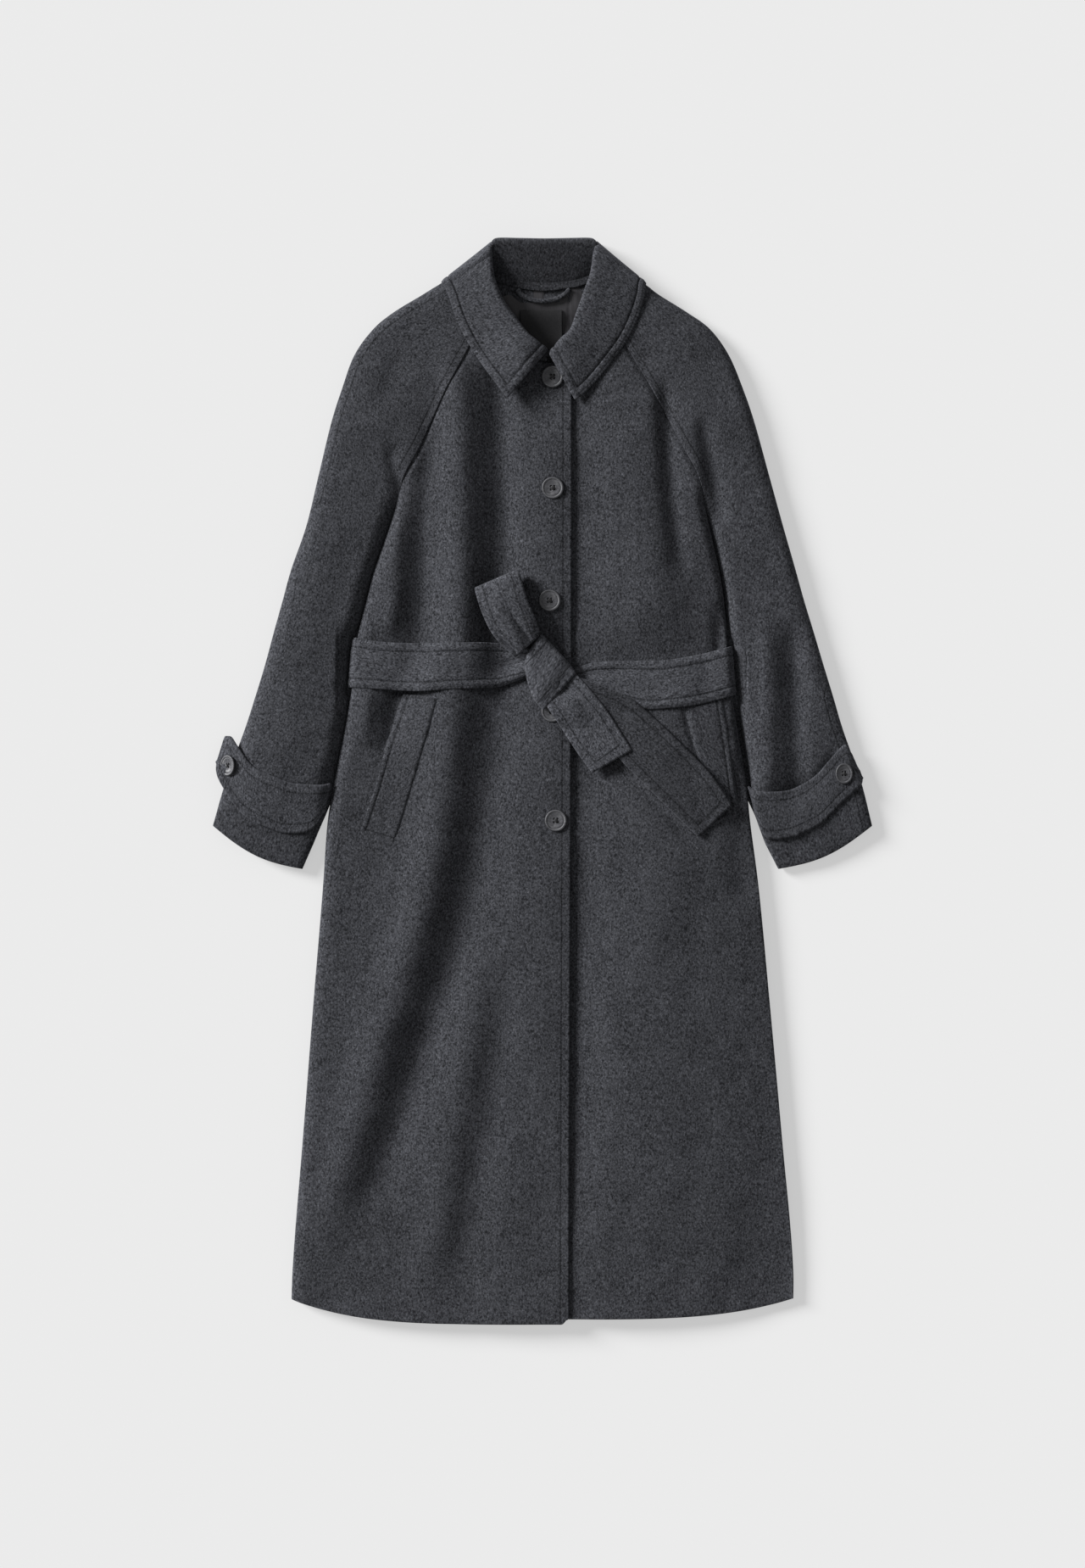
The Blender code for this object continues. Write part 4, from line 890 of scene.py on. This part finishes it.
def thread_points():
    """Crossed thread over the holes, three strands each way, and the shank under the button."""
    points, faces = [], []
    for way, lift in ((math.pi / 4, 0.55), (-math.pi / 4, 1.0)):
        for strand in (-0.5, 0.0, 0.5):
            t = np.linspace(-1, 1, 17)
            ahead = HOLE_PLACE * (np.abs(t) ** 1.4 * np.sign(t))
            height = 2.7 + lift * (1 - t ** 4) - 1.9 * np.abs(t) ** 6
            path_x = ahead * math.cos(way) - strand * math.sin(way)
            path_y = ahead * math.sin(way) + strand * math.cos(way)
            path = np.stack([path_x, path_y, height], -1)
            aside = np.tile((-math.sin(way), math.cos(way), 0.0), (17, 1))
            upward = unit(np.cross(np.gradient(path, axis=0), aside))
            ring, sides = tube(path, aside, upward, THREAD_HALF, THREAD_HALF, sides=8)
            faces += [[index + sum(map(len, points)) for index in face] for face in sides]
            points.append(ring)
    shank = np.stack([np.zeros(4), np.zeros(4), np.linspace(-0.75, 0.1, 4)], -1)
    aside, upward = np.tile((1.0, 0, 0), (4, 1)), np.tile((0, 1.0, 0), (4, 1))
    ring, sides = tube(shank, aside, upward, SHANK_HALF, SHANK_HALF)
    faces += [[index + sum(map(len, points)) for index in face] for face in sides]
    return np.concatenate(points + [ring]), faces


def sew_button(name, node, x, y, z, tilt=0.0, scale=(1.0, 1.0, 1.0)):
    """A button whose underside is centred at this place, tilted about Y, with its thread."""
    aside, down = math.cos(math.radians(tilt)), math.sin(math.radians(tilt))
    turning = np.array([[aside, 0, down], [0, 1, 0], [-down, 0, aside]])
    kinds = (("", button_points(), horn), ("_thread", thread_points(), cord_dye))
    for kind, (points, faces), material in kinds:
        sewn = points * scale @ turning.T + (x, y, z)
        obj = in_object(name + kind, sewn, faces, material, points + (0, 0, 3.0 * y))
        part(obj, node)
        if material is horn:
            tops[name] = BVHTree.FromPolygons(sewn.tolist(), faces)


turn = np.arange(24) * math.pi / 12
# Places under a button's rim and nearer its middle, where it may rest on the front.
ring_x, ring_y = (BUTTON_RADIUS * np.append(0.7 * way, way) for way in (np.cos(turn), np.sin(turn)))
for number, (x, y) in enumerate(BUTTON_PLACES, start=1):
    level = height_of(["left_front"], ring_x + x, ring_y + y).max()
    sew_button(f"front_button_{number}", f"button_{number}", x, y, level + 0.6)

for number in SHOWN_BUTTONHOLES:
    x, y = BUTTON_PLACES[number - 1]
    t = np.linspace(0, 2 * math.pi, 60, endpoint=False)
    eye = 1.0 + 0.9 * ease((np.cos(t) - 0.72) / 0.2)
    loop_x = x - BUTTONHOLE_ASIDE + BUTTONHOLE_HALF * np.sign(np.cos(t)) * np.abs(np.cos(t)) ** 0.7
    loop_y = y + eye * 1.15 * np.sin(t)
    level = height_of(["left_front"], loop_x[None], loop_y[None])[0] + 0.1
    path = np.stack([loop_x, loop_y, level + 0.35], -1)
    path = np.concatenate([path, path[:1]])
    heading = np.gradient(path, axis=0)
    aside = unit(np.cross(heading, (0, 0, 1)))
    twist = (1 + 0.18 * np.sin(np.arange(61) * 2.1))[:, None]
    ring, faces = tube(path, aside, np.tile((0, 0, 1.0), (61, 1)), 0.75 * twist, 0.6, sides=8)
    part(in_object(f"buttonhole_{number}", ring, faces, cord_dye, ring))
    # A dark sheet along the slit: painted shade in the buttonhole's opening.
    slit_x = np.linspace(loop_x.min() + 0.6, loop_x.max() - 0.6, 12)[None]
    slit_y = y + np.array([-0.5, 0.0, 0.5])[:, None]
    slit_x, slit_y = np.broadcast_arrays(slit_x, slit_y)
    slit_z = height_of(["left_front"], slit_x, slit_y) + 0.22
    part(shell(f"buttonhole_shadow_sheet_{number}", (slit_x, slit_y, slit_z), cord_dye, 0.1, facing=-1))

# Collar.
# Two layers of the coat cloth. It stands up from the neck seam, turns over at a soft fold
# and lies on the fronts; beside the neck it folds round to run under the back. The stand and
# the facing below it are painted darker, as shade, and the turned-over fall paler, as light.
COLLAR_ROWS = (  # neck x, y; fold x, y, z; edge x, y
    (4, 474, 5, 486, 26, -39, 433), (-12, 479, -6, 494, 29, -60, 461),
    (-30, 489, -18, 504, 31, -73, 480), (-43, 504, -33, 524, 30, -87, 504),
    (-56, 519, -46, 543, 29, -97, 527), (-64, 540, -55, 566, 27.5, -104, 548),
    (-65, 562, -58, 590, 25.5, -108, 557), (-63, 574, -57, 605, 14, -111, 563),
    (-52, 573, -51, 610, 7, -97, 561), (-30, 566, -26, 610, 6, -60, 551),
    (3, 563, 3, 609.5, 6, 0, 547), (36, 566, 32, 610, 6, 62, 551),
    (58, 573, 55, 610, 7, 99, 561), (68, 573, 61, 606, 13, 114, 562),
    (69, 562, 59, 592, 26, 115, 556), (67, 541, 56, 572, 28, 113, 543),
    (62, 520, 48, 549, 28, 106, 522), (52, 506, 41, 529, 29, 94.5, 498),
    (42, 489, 33, 508, 29, 80, 477), (27, 479, 22, 497, 28, 57, 449),
    (13, 474, 9, 482, 25, 38, 431),
)
DOUBLE = 3.9  # thickness of two layers of the coat cloth
GAP = 0.3  # air between a piece and the one it lies on
FOLD_RADIUS = 3.0
BACK_START, BACK_END = 7.0, 13.0  # rows between which the collar runs under the back
ROW_LENGTH = 24.0  # of collar from one row to the next
COLLAR_CREASES = (
    (-92, 560, -78, 520, -56, 478, 16, 12, 0.9, 0.9), (96, 560, 88, 520, 66, 474, 16, 12, 1.1, 0.9),
    (-66, 560, -58, 532, -36, 500, 7, 7, -0.7, -0.5), (72, 560, 66, 530, 44, 496, 8, 8, -0.7, -0.5),
)

at = np.linspace(0, len(COLLAR_ROWS) - 1, 320)[:, None]
neck_x, neck_y, fold_x, fold_y, fold_z, edge_x, edge_y = all_columns(COLLAR_ROWS, at)
on_left = at < (len(COLLAR_ROWS) - 1) / 2
over = ease(BACK_START - at) + ease(at - BACK_END)  # 1 where the fall lies on the fronts
under = ease(at - BACK_START) * ease(BACK_END - at)  # 1 where it runs under the back

share = np.linspace(0, 1, 20)[None]
turn = np.linspace(0, math.pi, 9)[None, 1:]
x = between(neck_x, fold_x, between(0.86, 1, under) * share)
y = between(between(neck_y, fold_y, 0.86 * share), between(neck_y, fold_y - FOLD_RADIUS, share), under)
side_z = between(TOP + CLOTH / 2 + 2.4, fold_z - 5.5, share)
rising = 10.4 + 12.5 * share + 0.6 * np.sin(math.pi * share)
z = between(rising, side_z, over)
roll_y = y[:, -1:] + under * FOLD_RADIUS * 1.25 * np.sin(turn) + (1 - under) * 0.1 * turn
roll_z = z[:, -1:] - under * (z[:, -1:] - DOUBLE / 2) / 2 * (1 - np.cos(turn))
x = np.hstack([x, x[:, -1:] + (fold_x - x[:, -1:]) * under * 0.5 + 0 * turn])
y, z = np.hstack([y, roll_y]), np.hstack([z, roll_z])
seam_line = np.hypot(x - neck_x, y - neck_y)
# The stand and the facing below it are painted darker, as shade.
neck_cloth_painted_shade = melange_wool("neck_cloth_painted_shade", tone=0.68)
half = CLOTH / 2 + (DOUBLE - CLOTH) / 2 * ease(seam_line / 40)
groove = -0.5 * swell(seam_line - 0.6, 1.0)
grain = (neck_x, seam_line)
stand = shell("standing_collar", (x, y, z), neck_cloth_painted_shade, half + groove, half, grain=grain, facing=-1)
part(stand, "collar_stand")

back_neck = slice(100, 221, 2)
line_x, line_y = neck_x[back_neck], neck_y[back_neck]
down = np.linspace(0, 1, 10)[None]
x, y = line_x * (1 - 0.03 * down), line_y - 0.3 - (8.4 + 0.5 * np.cos(line_x / 9)) * down
z = laid_on(["lining_in_neck"], x, y, 3, 2, lowest=8.5) + 1.6
# The facing's cloth is painted darker, as shade.
facing_band = part(shell("neck_facing", (x, y, z), neck_cloth_painted_shade, 1.0, facing=-1))

at_edge = np.hypot(edge_x - fold_x, edge_y - fold_y)
ahead_x, ahead_y = (edge_x - fold_x) / at_edge, (edge_y - fold_y) / at_edge
curl = np.radians(np.linspace(-75, 90, 10))[None]
reach = np.concatenate([np.linspace(0, 0.82, 26), np.linspace(0.84, 1, 22)])[None]
rolling = FOLD_RADIUS * (1 - np.cos(curl))
started = FOLD_RADIUS + 1.6 * under
rolling = between(rolling, started + 0.03 * curl, under)
distance = np.hstack([rolling, started + (at_edge - started) * reach[:, 1:]])
x, y = fold_x + ahead_x * distance, fold_y + ahead_y * distance
beneath = ["left_front", "right_front", "left_sleeve_front", "right_sleeve_front"]
beneath += ["standing_collar", "front_button_1"]
lain = laid_on(beneath, x, y, 7, 5, lowest=TOP + CLOTH / 2) + GAP + DOUBLE / 2
crest = np.maximum(lain[:, :1], fold_z + 0.8 + 0.8 * np.sin(at * 1.7))
down = np.clip((distance - FOLD_RADIUS) / (0.92 * at_edge), 0, 1)
fall = between(crest, lain, (down + ease(down)) / 2)
lift = 9.0 * ease((2.6 - at) / 2.6) * ease((distance - 0.05 * at_edge) / (0.35 * at_edge))
lift = lift + 1.5 * ease((at - 17.4) / 2.6) * ease((distance - 0.2 * at_edge) / (0.4 * at_edge))
fall = np.maximum(fall, lain) + lift + crease_height(COLLAR_CREASES, x, y) * ease((distance - 8) / 20)
fall[:, :curl.size] -= FOLD_RADIUS * (1 - np.sin(curl))
level_turn = math.pi * ease(np.where(on_left, at - BACK_START + 1, BACK_END + 1 - at) / 2)
z = (fall + DOUBLE / 2) / 2 + (fall - DOUBLE / 2) / 2 * np.cos(level_turn)
outward = np.sin(level_turn)
x, y = x + outward * np.where(on_left, -0.6, 0.6), y + outward * 0.8
from_edge = at_edge - distance


def beside(x, y, x0, y0, x1, y1):
    """Distance of each place from the line through two points."""
    return np.abs((x - x0) * (y1 - y0) - (y - y0) * (x1 - x0)) / math.hypot(x1 - x0, y1 - y0)


def doubled(
    name, node, places, wool, nearest, along, facing, grain, rim=2.3, puff=0.2, sink=0.65, lip_below=False
):
    """A piece of two layers of cloth, stitched inside its finished edges.

    nearest is the distance of each place from those edges, and along its run beside them.
    """
    above = DOUBLE / 2 + turned_edge(nearest, puff, sink)
    faces = (DOUBLE / 2, above) if lip_below else (above, DOUBLE / 2)
    stitch = (nearest - STITCH_IN, along)
    return part(shell(name, places, wool, *faces, rim=rim, grain=grain, stitch=stitch, facing=facing), node)


from_left, from_right = (beside(x, y, *row[2:4], *row[5:7]) for row in (COLLAR_ROWS[0], COLLAR_ROWS[-1]))
from_ends = np.minimum(from_left + 200 * (at > 6), from_right + 200 * (at < 14))
nearest = np.minimum(from_edge, from_ends)
run = np.where(from_edge <= from_ends, at * ROW_LENGTH, distance)
# The collar's cloth is painted paler, as light.
collar_cloth_painted_light = melange_wool("collar_cloth_painted_light", tone=1.15)
collar = doubled(
    "turned_collar", "collar_fall", (x, y, z), collar_cloth_painted_light, nearest, run, -1,
    (at * ROW_LENGTH, distance), rim=1.9, puff=0.1, sink=0.8,
)

# Pocket welts.
# Slanted bands of doubled cloth, stitched 8 mm inside their edges and held down by a bar
# of stitches at both ends of the opening.
WELT_LEFT = (  # left x, y; right x, y, from the top down
    (-158, 97, -117, 91), (-177, 39, -133, 36), (-191.5, -11, -147, -11), (-208, -59, -166.5, -73),
)
WELT_RIGHT = (
    (160, 84, 205, 91), (168.5, 54, 211, 54), (177, 21.6, 217, 5), (196, -52, 224, -38),
)


def strip(table, rows, columns):
    """Places across a strip whose table gives the two ends of each cross line, then the rest."""
    at = np.linspace(0, len(table) - 1, rows)[:, None]
    first_x, first_y, second_x, second_y, *rest = all_columns(table, at)
    share = np.linspace(0, 1, columns)[None]
    x, y = between(first_x, second_x, share), between(first_y, second_y, share)
    width = np.hypot(second_x - first_x, second_y - first_y)
    along = distance_along(np.stack([x.mean(1), y.mean(1)], -1))[:, None] + 0 * share
    return x, y, width * share, width * (1 - share), along, rest


for hand, table in (("left", WELT_LEFT), ("right", WELT_RIGHT)):
    x, y, from_first, from_second, along, _ = strip(table, rows=100, columns=40)
    from_open = from_first if hand == "left" else from_second
    nearest = np.minimum(from_open, along[-1:] - along + 1)
    # Besides the stitches 8 mm in, dark lines run along the open edge and across the top: painted shade
    # where the edge meets the front.
    line = np.minimum(np.abs(nearest - STITCH_IN), np.minimum(np.abs(along - 1.4), np.abs(nearest)))
    level = height_of(["left_front", "right_front"], x, y)
    z = np.maximum(settled(level, 6, 6), level) + 0.5 + CLOTH / 2
    from_edge = np.minimum(np.minimum(from_first, from_second), 0.6 * (along[-1:] - along))
    z = z - 1.9 * ease((3.6 - from_edge) / 3.6)
    above = CLOTH / 2 + turned_edge(nearest, puff=0.1, sink=0.5)
    welt = shell(
        f"{hand}_pocket_welt", (x, y, z), coat_wool, above, CLOTH / 2, rim=1.6,
        grain=(from_first, along), stitch=(line, along), facing=-1,
    )
    part(welt, f"pocket_welt_{hand}")

# Belt round the waist.
# A doubled band stitched along both edges. It crosses both fronts, turns round the sides
# and runs under the back; the stretches on the front are drawn in towards the knot.
BELT_EDGES = (  # x, lower edge y, upper edge y on the front
    (-216, 107, 160), (-186, 105, 155), (-141, 102.5, 153), (-97, 105, 153.5), (-68, 106, 154),
    (-47.5, 107.5, 153), (-28, 114, 150), (-8, 119, 146), (36, 90, 126.5), (56, 92, 131),
    (94, 88.5, 133), (113, 82.5, 133.4), (138, 83, 134), (182, 88.8, 141.5), (214, 98.5, 149.5),
)
BELT_OFF = 4.7  # from the middle of the coat's cloth to the middle of the belt round the sides
BELT_CREASES = (
    (-82, 106, -48, 112, -10, 130, 5, 7, 1.2, 3.4), (-66, 128, -40, 131, -10, 143, 5, 5, -0.8, -2.6),
    (34, 117, 60, 121, 100, 127, 4, 5, -2.6, -0.5), (34, 106, 66, 111, 112, 112, 8, 9, 2.2, 0.8),
    (-152, 165, -153, 130, -154, 95, 34, 34, 5.0, 5.0), (150, 145, 152, 115, 154, 80, 36, 36, 3.5, 3.5),
)


def belt_turn(side, turn, y):
    """Places on the belt where it turns round the body's edge; turn 90 degrees is on top."""
    edge = body_edge(side, y)
    low = seam_height(edge, y)
    high = turn > 0
    reach = np.where(high, LEFT_ROLL if side < 0 else read(RIGHT_ROLL, y), UNDER_ROLL)
    rise = np.where(high, TOP - 2.2 - low, low - CLOTH / 2 - BELT_LIFT)
    normal_x, normal_z = np.cos(turn) / reach, np.sin(turn) / rise
    scale = BELT_OFF / np.hypot(normal_x, normal_z)
    x = edge - side * reach * (1 - np.cos(turn)) + side * normal_x * scale
    return x, np.maximum(low + rise * np.sin(turn) + normal_z * scale, DOUBLE / 2)


# The belt, the bow loop and the left cuff strap are painted paler, as light.
band_cloth_painted_light = melange_wool("band_cloth_painted_light", tone=1.25)
share = np.linspace(0, 1, 50)[None]
STRAIGHT_ROWS = 64
stretches = []
for side, start, stop in ((-1, -8.0, -196.0), (1, 38.0, 190.0)):
    line = np.linspace(start, stop, STRAIGHT_ROWS)[:, None]
    x, y = line + 0 * share, between(*pair(BELT_EDGES, line), share)
    beneath = ["left_front", "right_front", "left_pocket_welt", "right_pocket_welt"]
    z = laid_on(beneath, x, y, 4, 7) + GAP + DOUBLE / 2
    z = z + np.maximum(crease_height(BELT_CREASES, x, y), -1.2) + ease((70 - np.abs(x - 14)) / 50)
    turn = np.radians(np.linspace(84, -62, 22))[:, None]
    near_x = belt_turn(side, turn, BELT_Y)[0]
    turn_y = between(*pair(BELT_EDGES, near_x), share)
    turn_x, turn_z = belt_turn(side, turn, turn_y)
    x, y, z = np.vstack([x, turn_x]), np.vstack([y, turn_y]), np.vstack([z, turn_z])
    stretches.append(np.stack([x, y, z], -1))
left_part, right_part = stretches
passing = np.linspace(0, 1, 60)[1:-1, None, None]
under_part = between(left_part[-1:], right_part[-1:], passing)
under_part[..., 2] = DOUBLE / 2
points = np.concatenate([left_part, under_part, right_part[::-1]])
softened = points.copy()
for _ in range(4):
    softened[1:-1] = (softened[:-2] + 2 * softened[1:-1] + softened[2:]) / 4
near, far = STRAIGHT_ROWS - 8, STRAIGHT_ROWS + 12  # rows between which it starts to turn down
points[near:far], points[-far:-near] = softened[near:far], softened[-far:-near]
along = distance_along(points.mean(1))[:, None] + 0 * share
nearest = np.minimum(share, 1 - share) * BELT_WIDTH
belt = doubled(
    "belt_round_waist", "belt_band", np.moveaxis(points, 2, 0), band_cloth_painted_light, nearest, along, 1,
    (share * BELT_WIDTH, along), rim=1.8, puff=0.1, sink=0.4,
)

# Belt ends.
# The two free ends of the belt hang from the knot, the short one lying on the long one.
END_LONG = (  # right x, y; left x, y, from the knot outwards
    (38, 116, 12, 84), (88, 96.5, 60, 54), (113, 80, 80, 34), (152, 44, 111, 3), (188, 7, 147, -33),
    (212, -27, 176, -61),
)
END_SHORT = (
    (32, 124, 3, 90), (51, 104, 20, 65), (71.5, 78, 40, 34), (99, 35, 57, 11),
)
END_CREASES = (
    (40, 100, 90, 62, 150, 20, 14, 16, 0.8, 1.2), (30, 92, 44, 70, 62, 40, 10, 12, 1.4, 1.0),
)
# The knot and the short end are painted paler, as light; the long end is painted darker, as shade.
wool_painted_light = melange_wool("wool_painted_light", tone=1.45)
shaded_wool = melange_wool("shaded_wool", tone=0.88)
beneath = ["left_front", "right_front", "belt_round_waist", "right_pocket_welt", "front_button_4"]
beneath.append("right_sleeve_front")
for length, table, rows, wool, flat_length in (
    ("long", END_LONG, 150, shaded_wool, 0.24), ("short", END_SHORT, 96, wool_painted_light, 0.11),
):
    x, y, from_first, from_second, along, _ = strip(table, rows, columns=48)
    z = laid_on(beneath, x, y, 8, 6) + 0.5 + DOUBLE / 2
    z = z + np.maximum(crease_height(END_CREASES, x, y), 0) + 0.4 * np.sin(along / 17) ** 2
    if length == "long":
        z = z + 1.4 * swell(from_second, 7)
    else:
        z = np.maximum(z, z[:1].max() - 2.5 + 2.8 * along / along[-1:])
    nearest = np.minimum(np.minimum(from_first, from_second), along[-1:] - along)
    end = doubled(
        f"{length}_belt_end", f"belt_end_{length}", (x, y, z), wool, nearest, along, -1,
        (from_first, along), rim=1.9,
    )
    beneath.append(f"{length}_belt_end")

# Knot.
# The belt wraps once round itself: a tight arched band over the rounded layers inside.
KNOT_LOWER = (  # share across the band from its upper-left edge, x, y of the end that tucks under
    (0.0, -18, 139), (0.3, -17, 121), (0.7, -8.5, 94), (1.0, 1, 82),
)
KNOT_UPPER = ((0.0, 0, 162.5), (0.35, 13, 149), (0.75, 27.5, 133), (1.0, 36, 122))
KNOT_HEIGHT = 8.5
KNOT_WIDTH = 52.0
share = np.linspace(0, 1, 56)[:, None]
wrap = np.linspace(0.03, 0.97, 60)[None]
place = (1 - np.cos(math.pi * wrap)) / 2
x, y = (between(*ends, place) for ends in zip(pair(KNOT_LOWER, share), pair(KNOT_UPPER, share)))
knot_low = height_of(["belt_round_waist", "left_front"], x, y).max() + 1.0
arch = np.sin(math.pi * wrap) ** 0.55
crown = 1 - 0.12 * np.abs(2 * share - 1) ** 3 - 0.32 * ease((share - 0.45) / 0.55)
pull = 0.6 * np.sin(2 * math.pi * (1.35 * share + 0.5 * wrap)) * arch * (1 - (2 * share - 1) ** 4)
z = knot_low + DOUBLE / 2 + (KNOT_HEIGHT - 1.5 * share) * arch * crown + pull
nearest = np.minimum(share, 1 - share) * KNOT_WIDTH + 0 * wrap
along = 30 * place + 20 * share
# The knot's cloth is painted paler, as light.
knot = doubled(
    "knot_band", "belt_knot", (x, y, z), wool_painted_light, nearest, along, 1, (KNOT_WIDTH * share, along)
)

turn, rise = np.meshgrid(np.linspace(0, 2 * math.pi, 40, endpoint=False), np.linspace(-1.5, 1.5, 20))
core_x, core_y = 9 + 17 * np.cos(rise) * np.cos(turn), 121 + 27 * np.cos(rise) * np.sin(turn)
core = np.stack([core_x, core_y, knot_low + 4.5 + 6.0 * np.sin(rise)], -1).reshape(-1, 3)
part(in_object("knot_layers_inside", core, ring_faces(*turn.shape), coat_wool, core), "belt_knot")

# Bow loop.
# The belt doubled back on itself above the knot, so the loop stands open at its far end.
BOW_ROWS = (  # left x, y; right x, y; height over what is beneath: out from the knot and back
    (-34, 147, -9, 165, 0.0), (-51, 168, -14, 188, 0.0), (-62, 191, -20, 208, 0.0),
    (-69, 205, -25, 223, 0.6), (-73.5, 216, -29, 235, 6.5), (-72, 209, -26, 229, 14.0),
    (-65, 188, -20, 206, 17.0), (-52, 163, -11, 185, 16.0), (-30, 141, -4, 165, 12.5),
)
BOW_CREASES = (
    (-70, 206, -55, 172, -28, 146, 3.6, 4, -0.4, -3.2), (-54, 200, -40, 176, -20, 150, 6, 5, 0.6, 2.6),
    (-42, 206, -31, 182, -13, 158, 3.4, 3.4, -0.3, -2.8), (-30, 212, -21, 190, -8, 166, 5, 5, 0.4, 1.4),
)
x, y, from_first, from_second, along, (rest,) = strip(BOW_ROWS, rows=190, columns=46)
bow_low = height_of(["left_front", "belt_round_waist"], x, y).max() - 1.0
on_top = ease((rest - 8) / 6)
share = from_first / (from_first + from_second)
z = bow_low + 0.7 + DOUBLE / 2 + rest + 2.6 * np.sin(math.pi * share) * np.minimum(rest / 7, 1)
z = z + crease_height(BOW_CREASES, x, y) * on_top
nearest = np.minimum(from_first, from_second)
# The bow loop's cloth is painted paler, as light.
bow = doubled(
    "bow_loop", "belt_loop", (x, y, z), band_cloth_painted_light, nearest, along, -1, (from_first, along), lip_below=True
)

# Cuff straps.
# A strap of doubled cloth crosses each cuff. Its free end is rounded and buttoned, and
# stands a little off the sleeve's edge.
STRAP_LEFT = (  # upper x, y; lower x, y; lowest height of the strap's underside
    (-240, -5, -246, -34, 8), (-252, -7, -262, -54, 12), (-283, -5, -289.5, -57, 12),
    (-301, 1.5, -308, -51, 12), (-317, 8, -325, -44, 14), (-330, 18, -342, -31, 16),
    (-344, 37, -358, -8, 15), (-351, 47, -366, 8, 10), (-357, 48.5, -367, 21, 6),
)
STRAP_RIGHT = (
    (234, -8, 241, -34, 6), (244, -14, 253, -62, 8), (273, -14, 280, -62, 8), (291, -8, 297, -55, 9),
    (309.6, 4, 315, -45.6, 11), (324, 20, 334.6, -26, 12), (341, 38, 353, -9, 12),
    (347, 32, 359.5, -3, 10), (351, 24, 361, 3, 7),
)
CUFF_BUTTONS = (("left", -353.5, 17.0, -34.0), ("right", 340.5, 8.0, 8.0))  # x, y, tilt in degrees
CUFF_BUTTON_SCALE = (0.8, 0.95, 0.95)  # of a front button

# The left strap's cloth is painted paler, as light; the right one is plain coat wool.
for hand, table, wool, facing in (
    ("left", STRAP_LEFT, band_cloth_painted_light, 1), ("right", STRAP_RIGHT, coat_wool, -1),
):
    x, y, from_first, from_second, along, (least,) = strip(table, rows=120, columns=42)
    z = settled(np.maximum(height_of([f"{hand}_sleeve_front", f"{hand}_front"], x, y), least), 5, 5)
    z = z + 1.2 + DOUBLE / 2
    nearest = np.minimum(np.minimum(from_first, from_second), along[-1:] - along + 1)
    strap = doubled(
        f"{hand}_cuff_strap", f"cuff_strap_{hand}", (x, y, z), wool, nearest, along, facing,
        (along, from_first),
    )

for hand, x, y, tilt in CUFF_BUTTONS:
    level = height_of([f"{hand}_cuff_strap"], np.array([[x]]), np.array([[y]]))[0, 0] + 2.8
    sew_button(f"{hand}_cuff_button", f"cuff_button_{hand}", x, y, level, tilt, CUFF_BUTTON_SCALE)
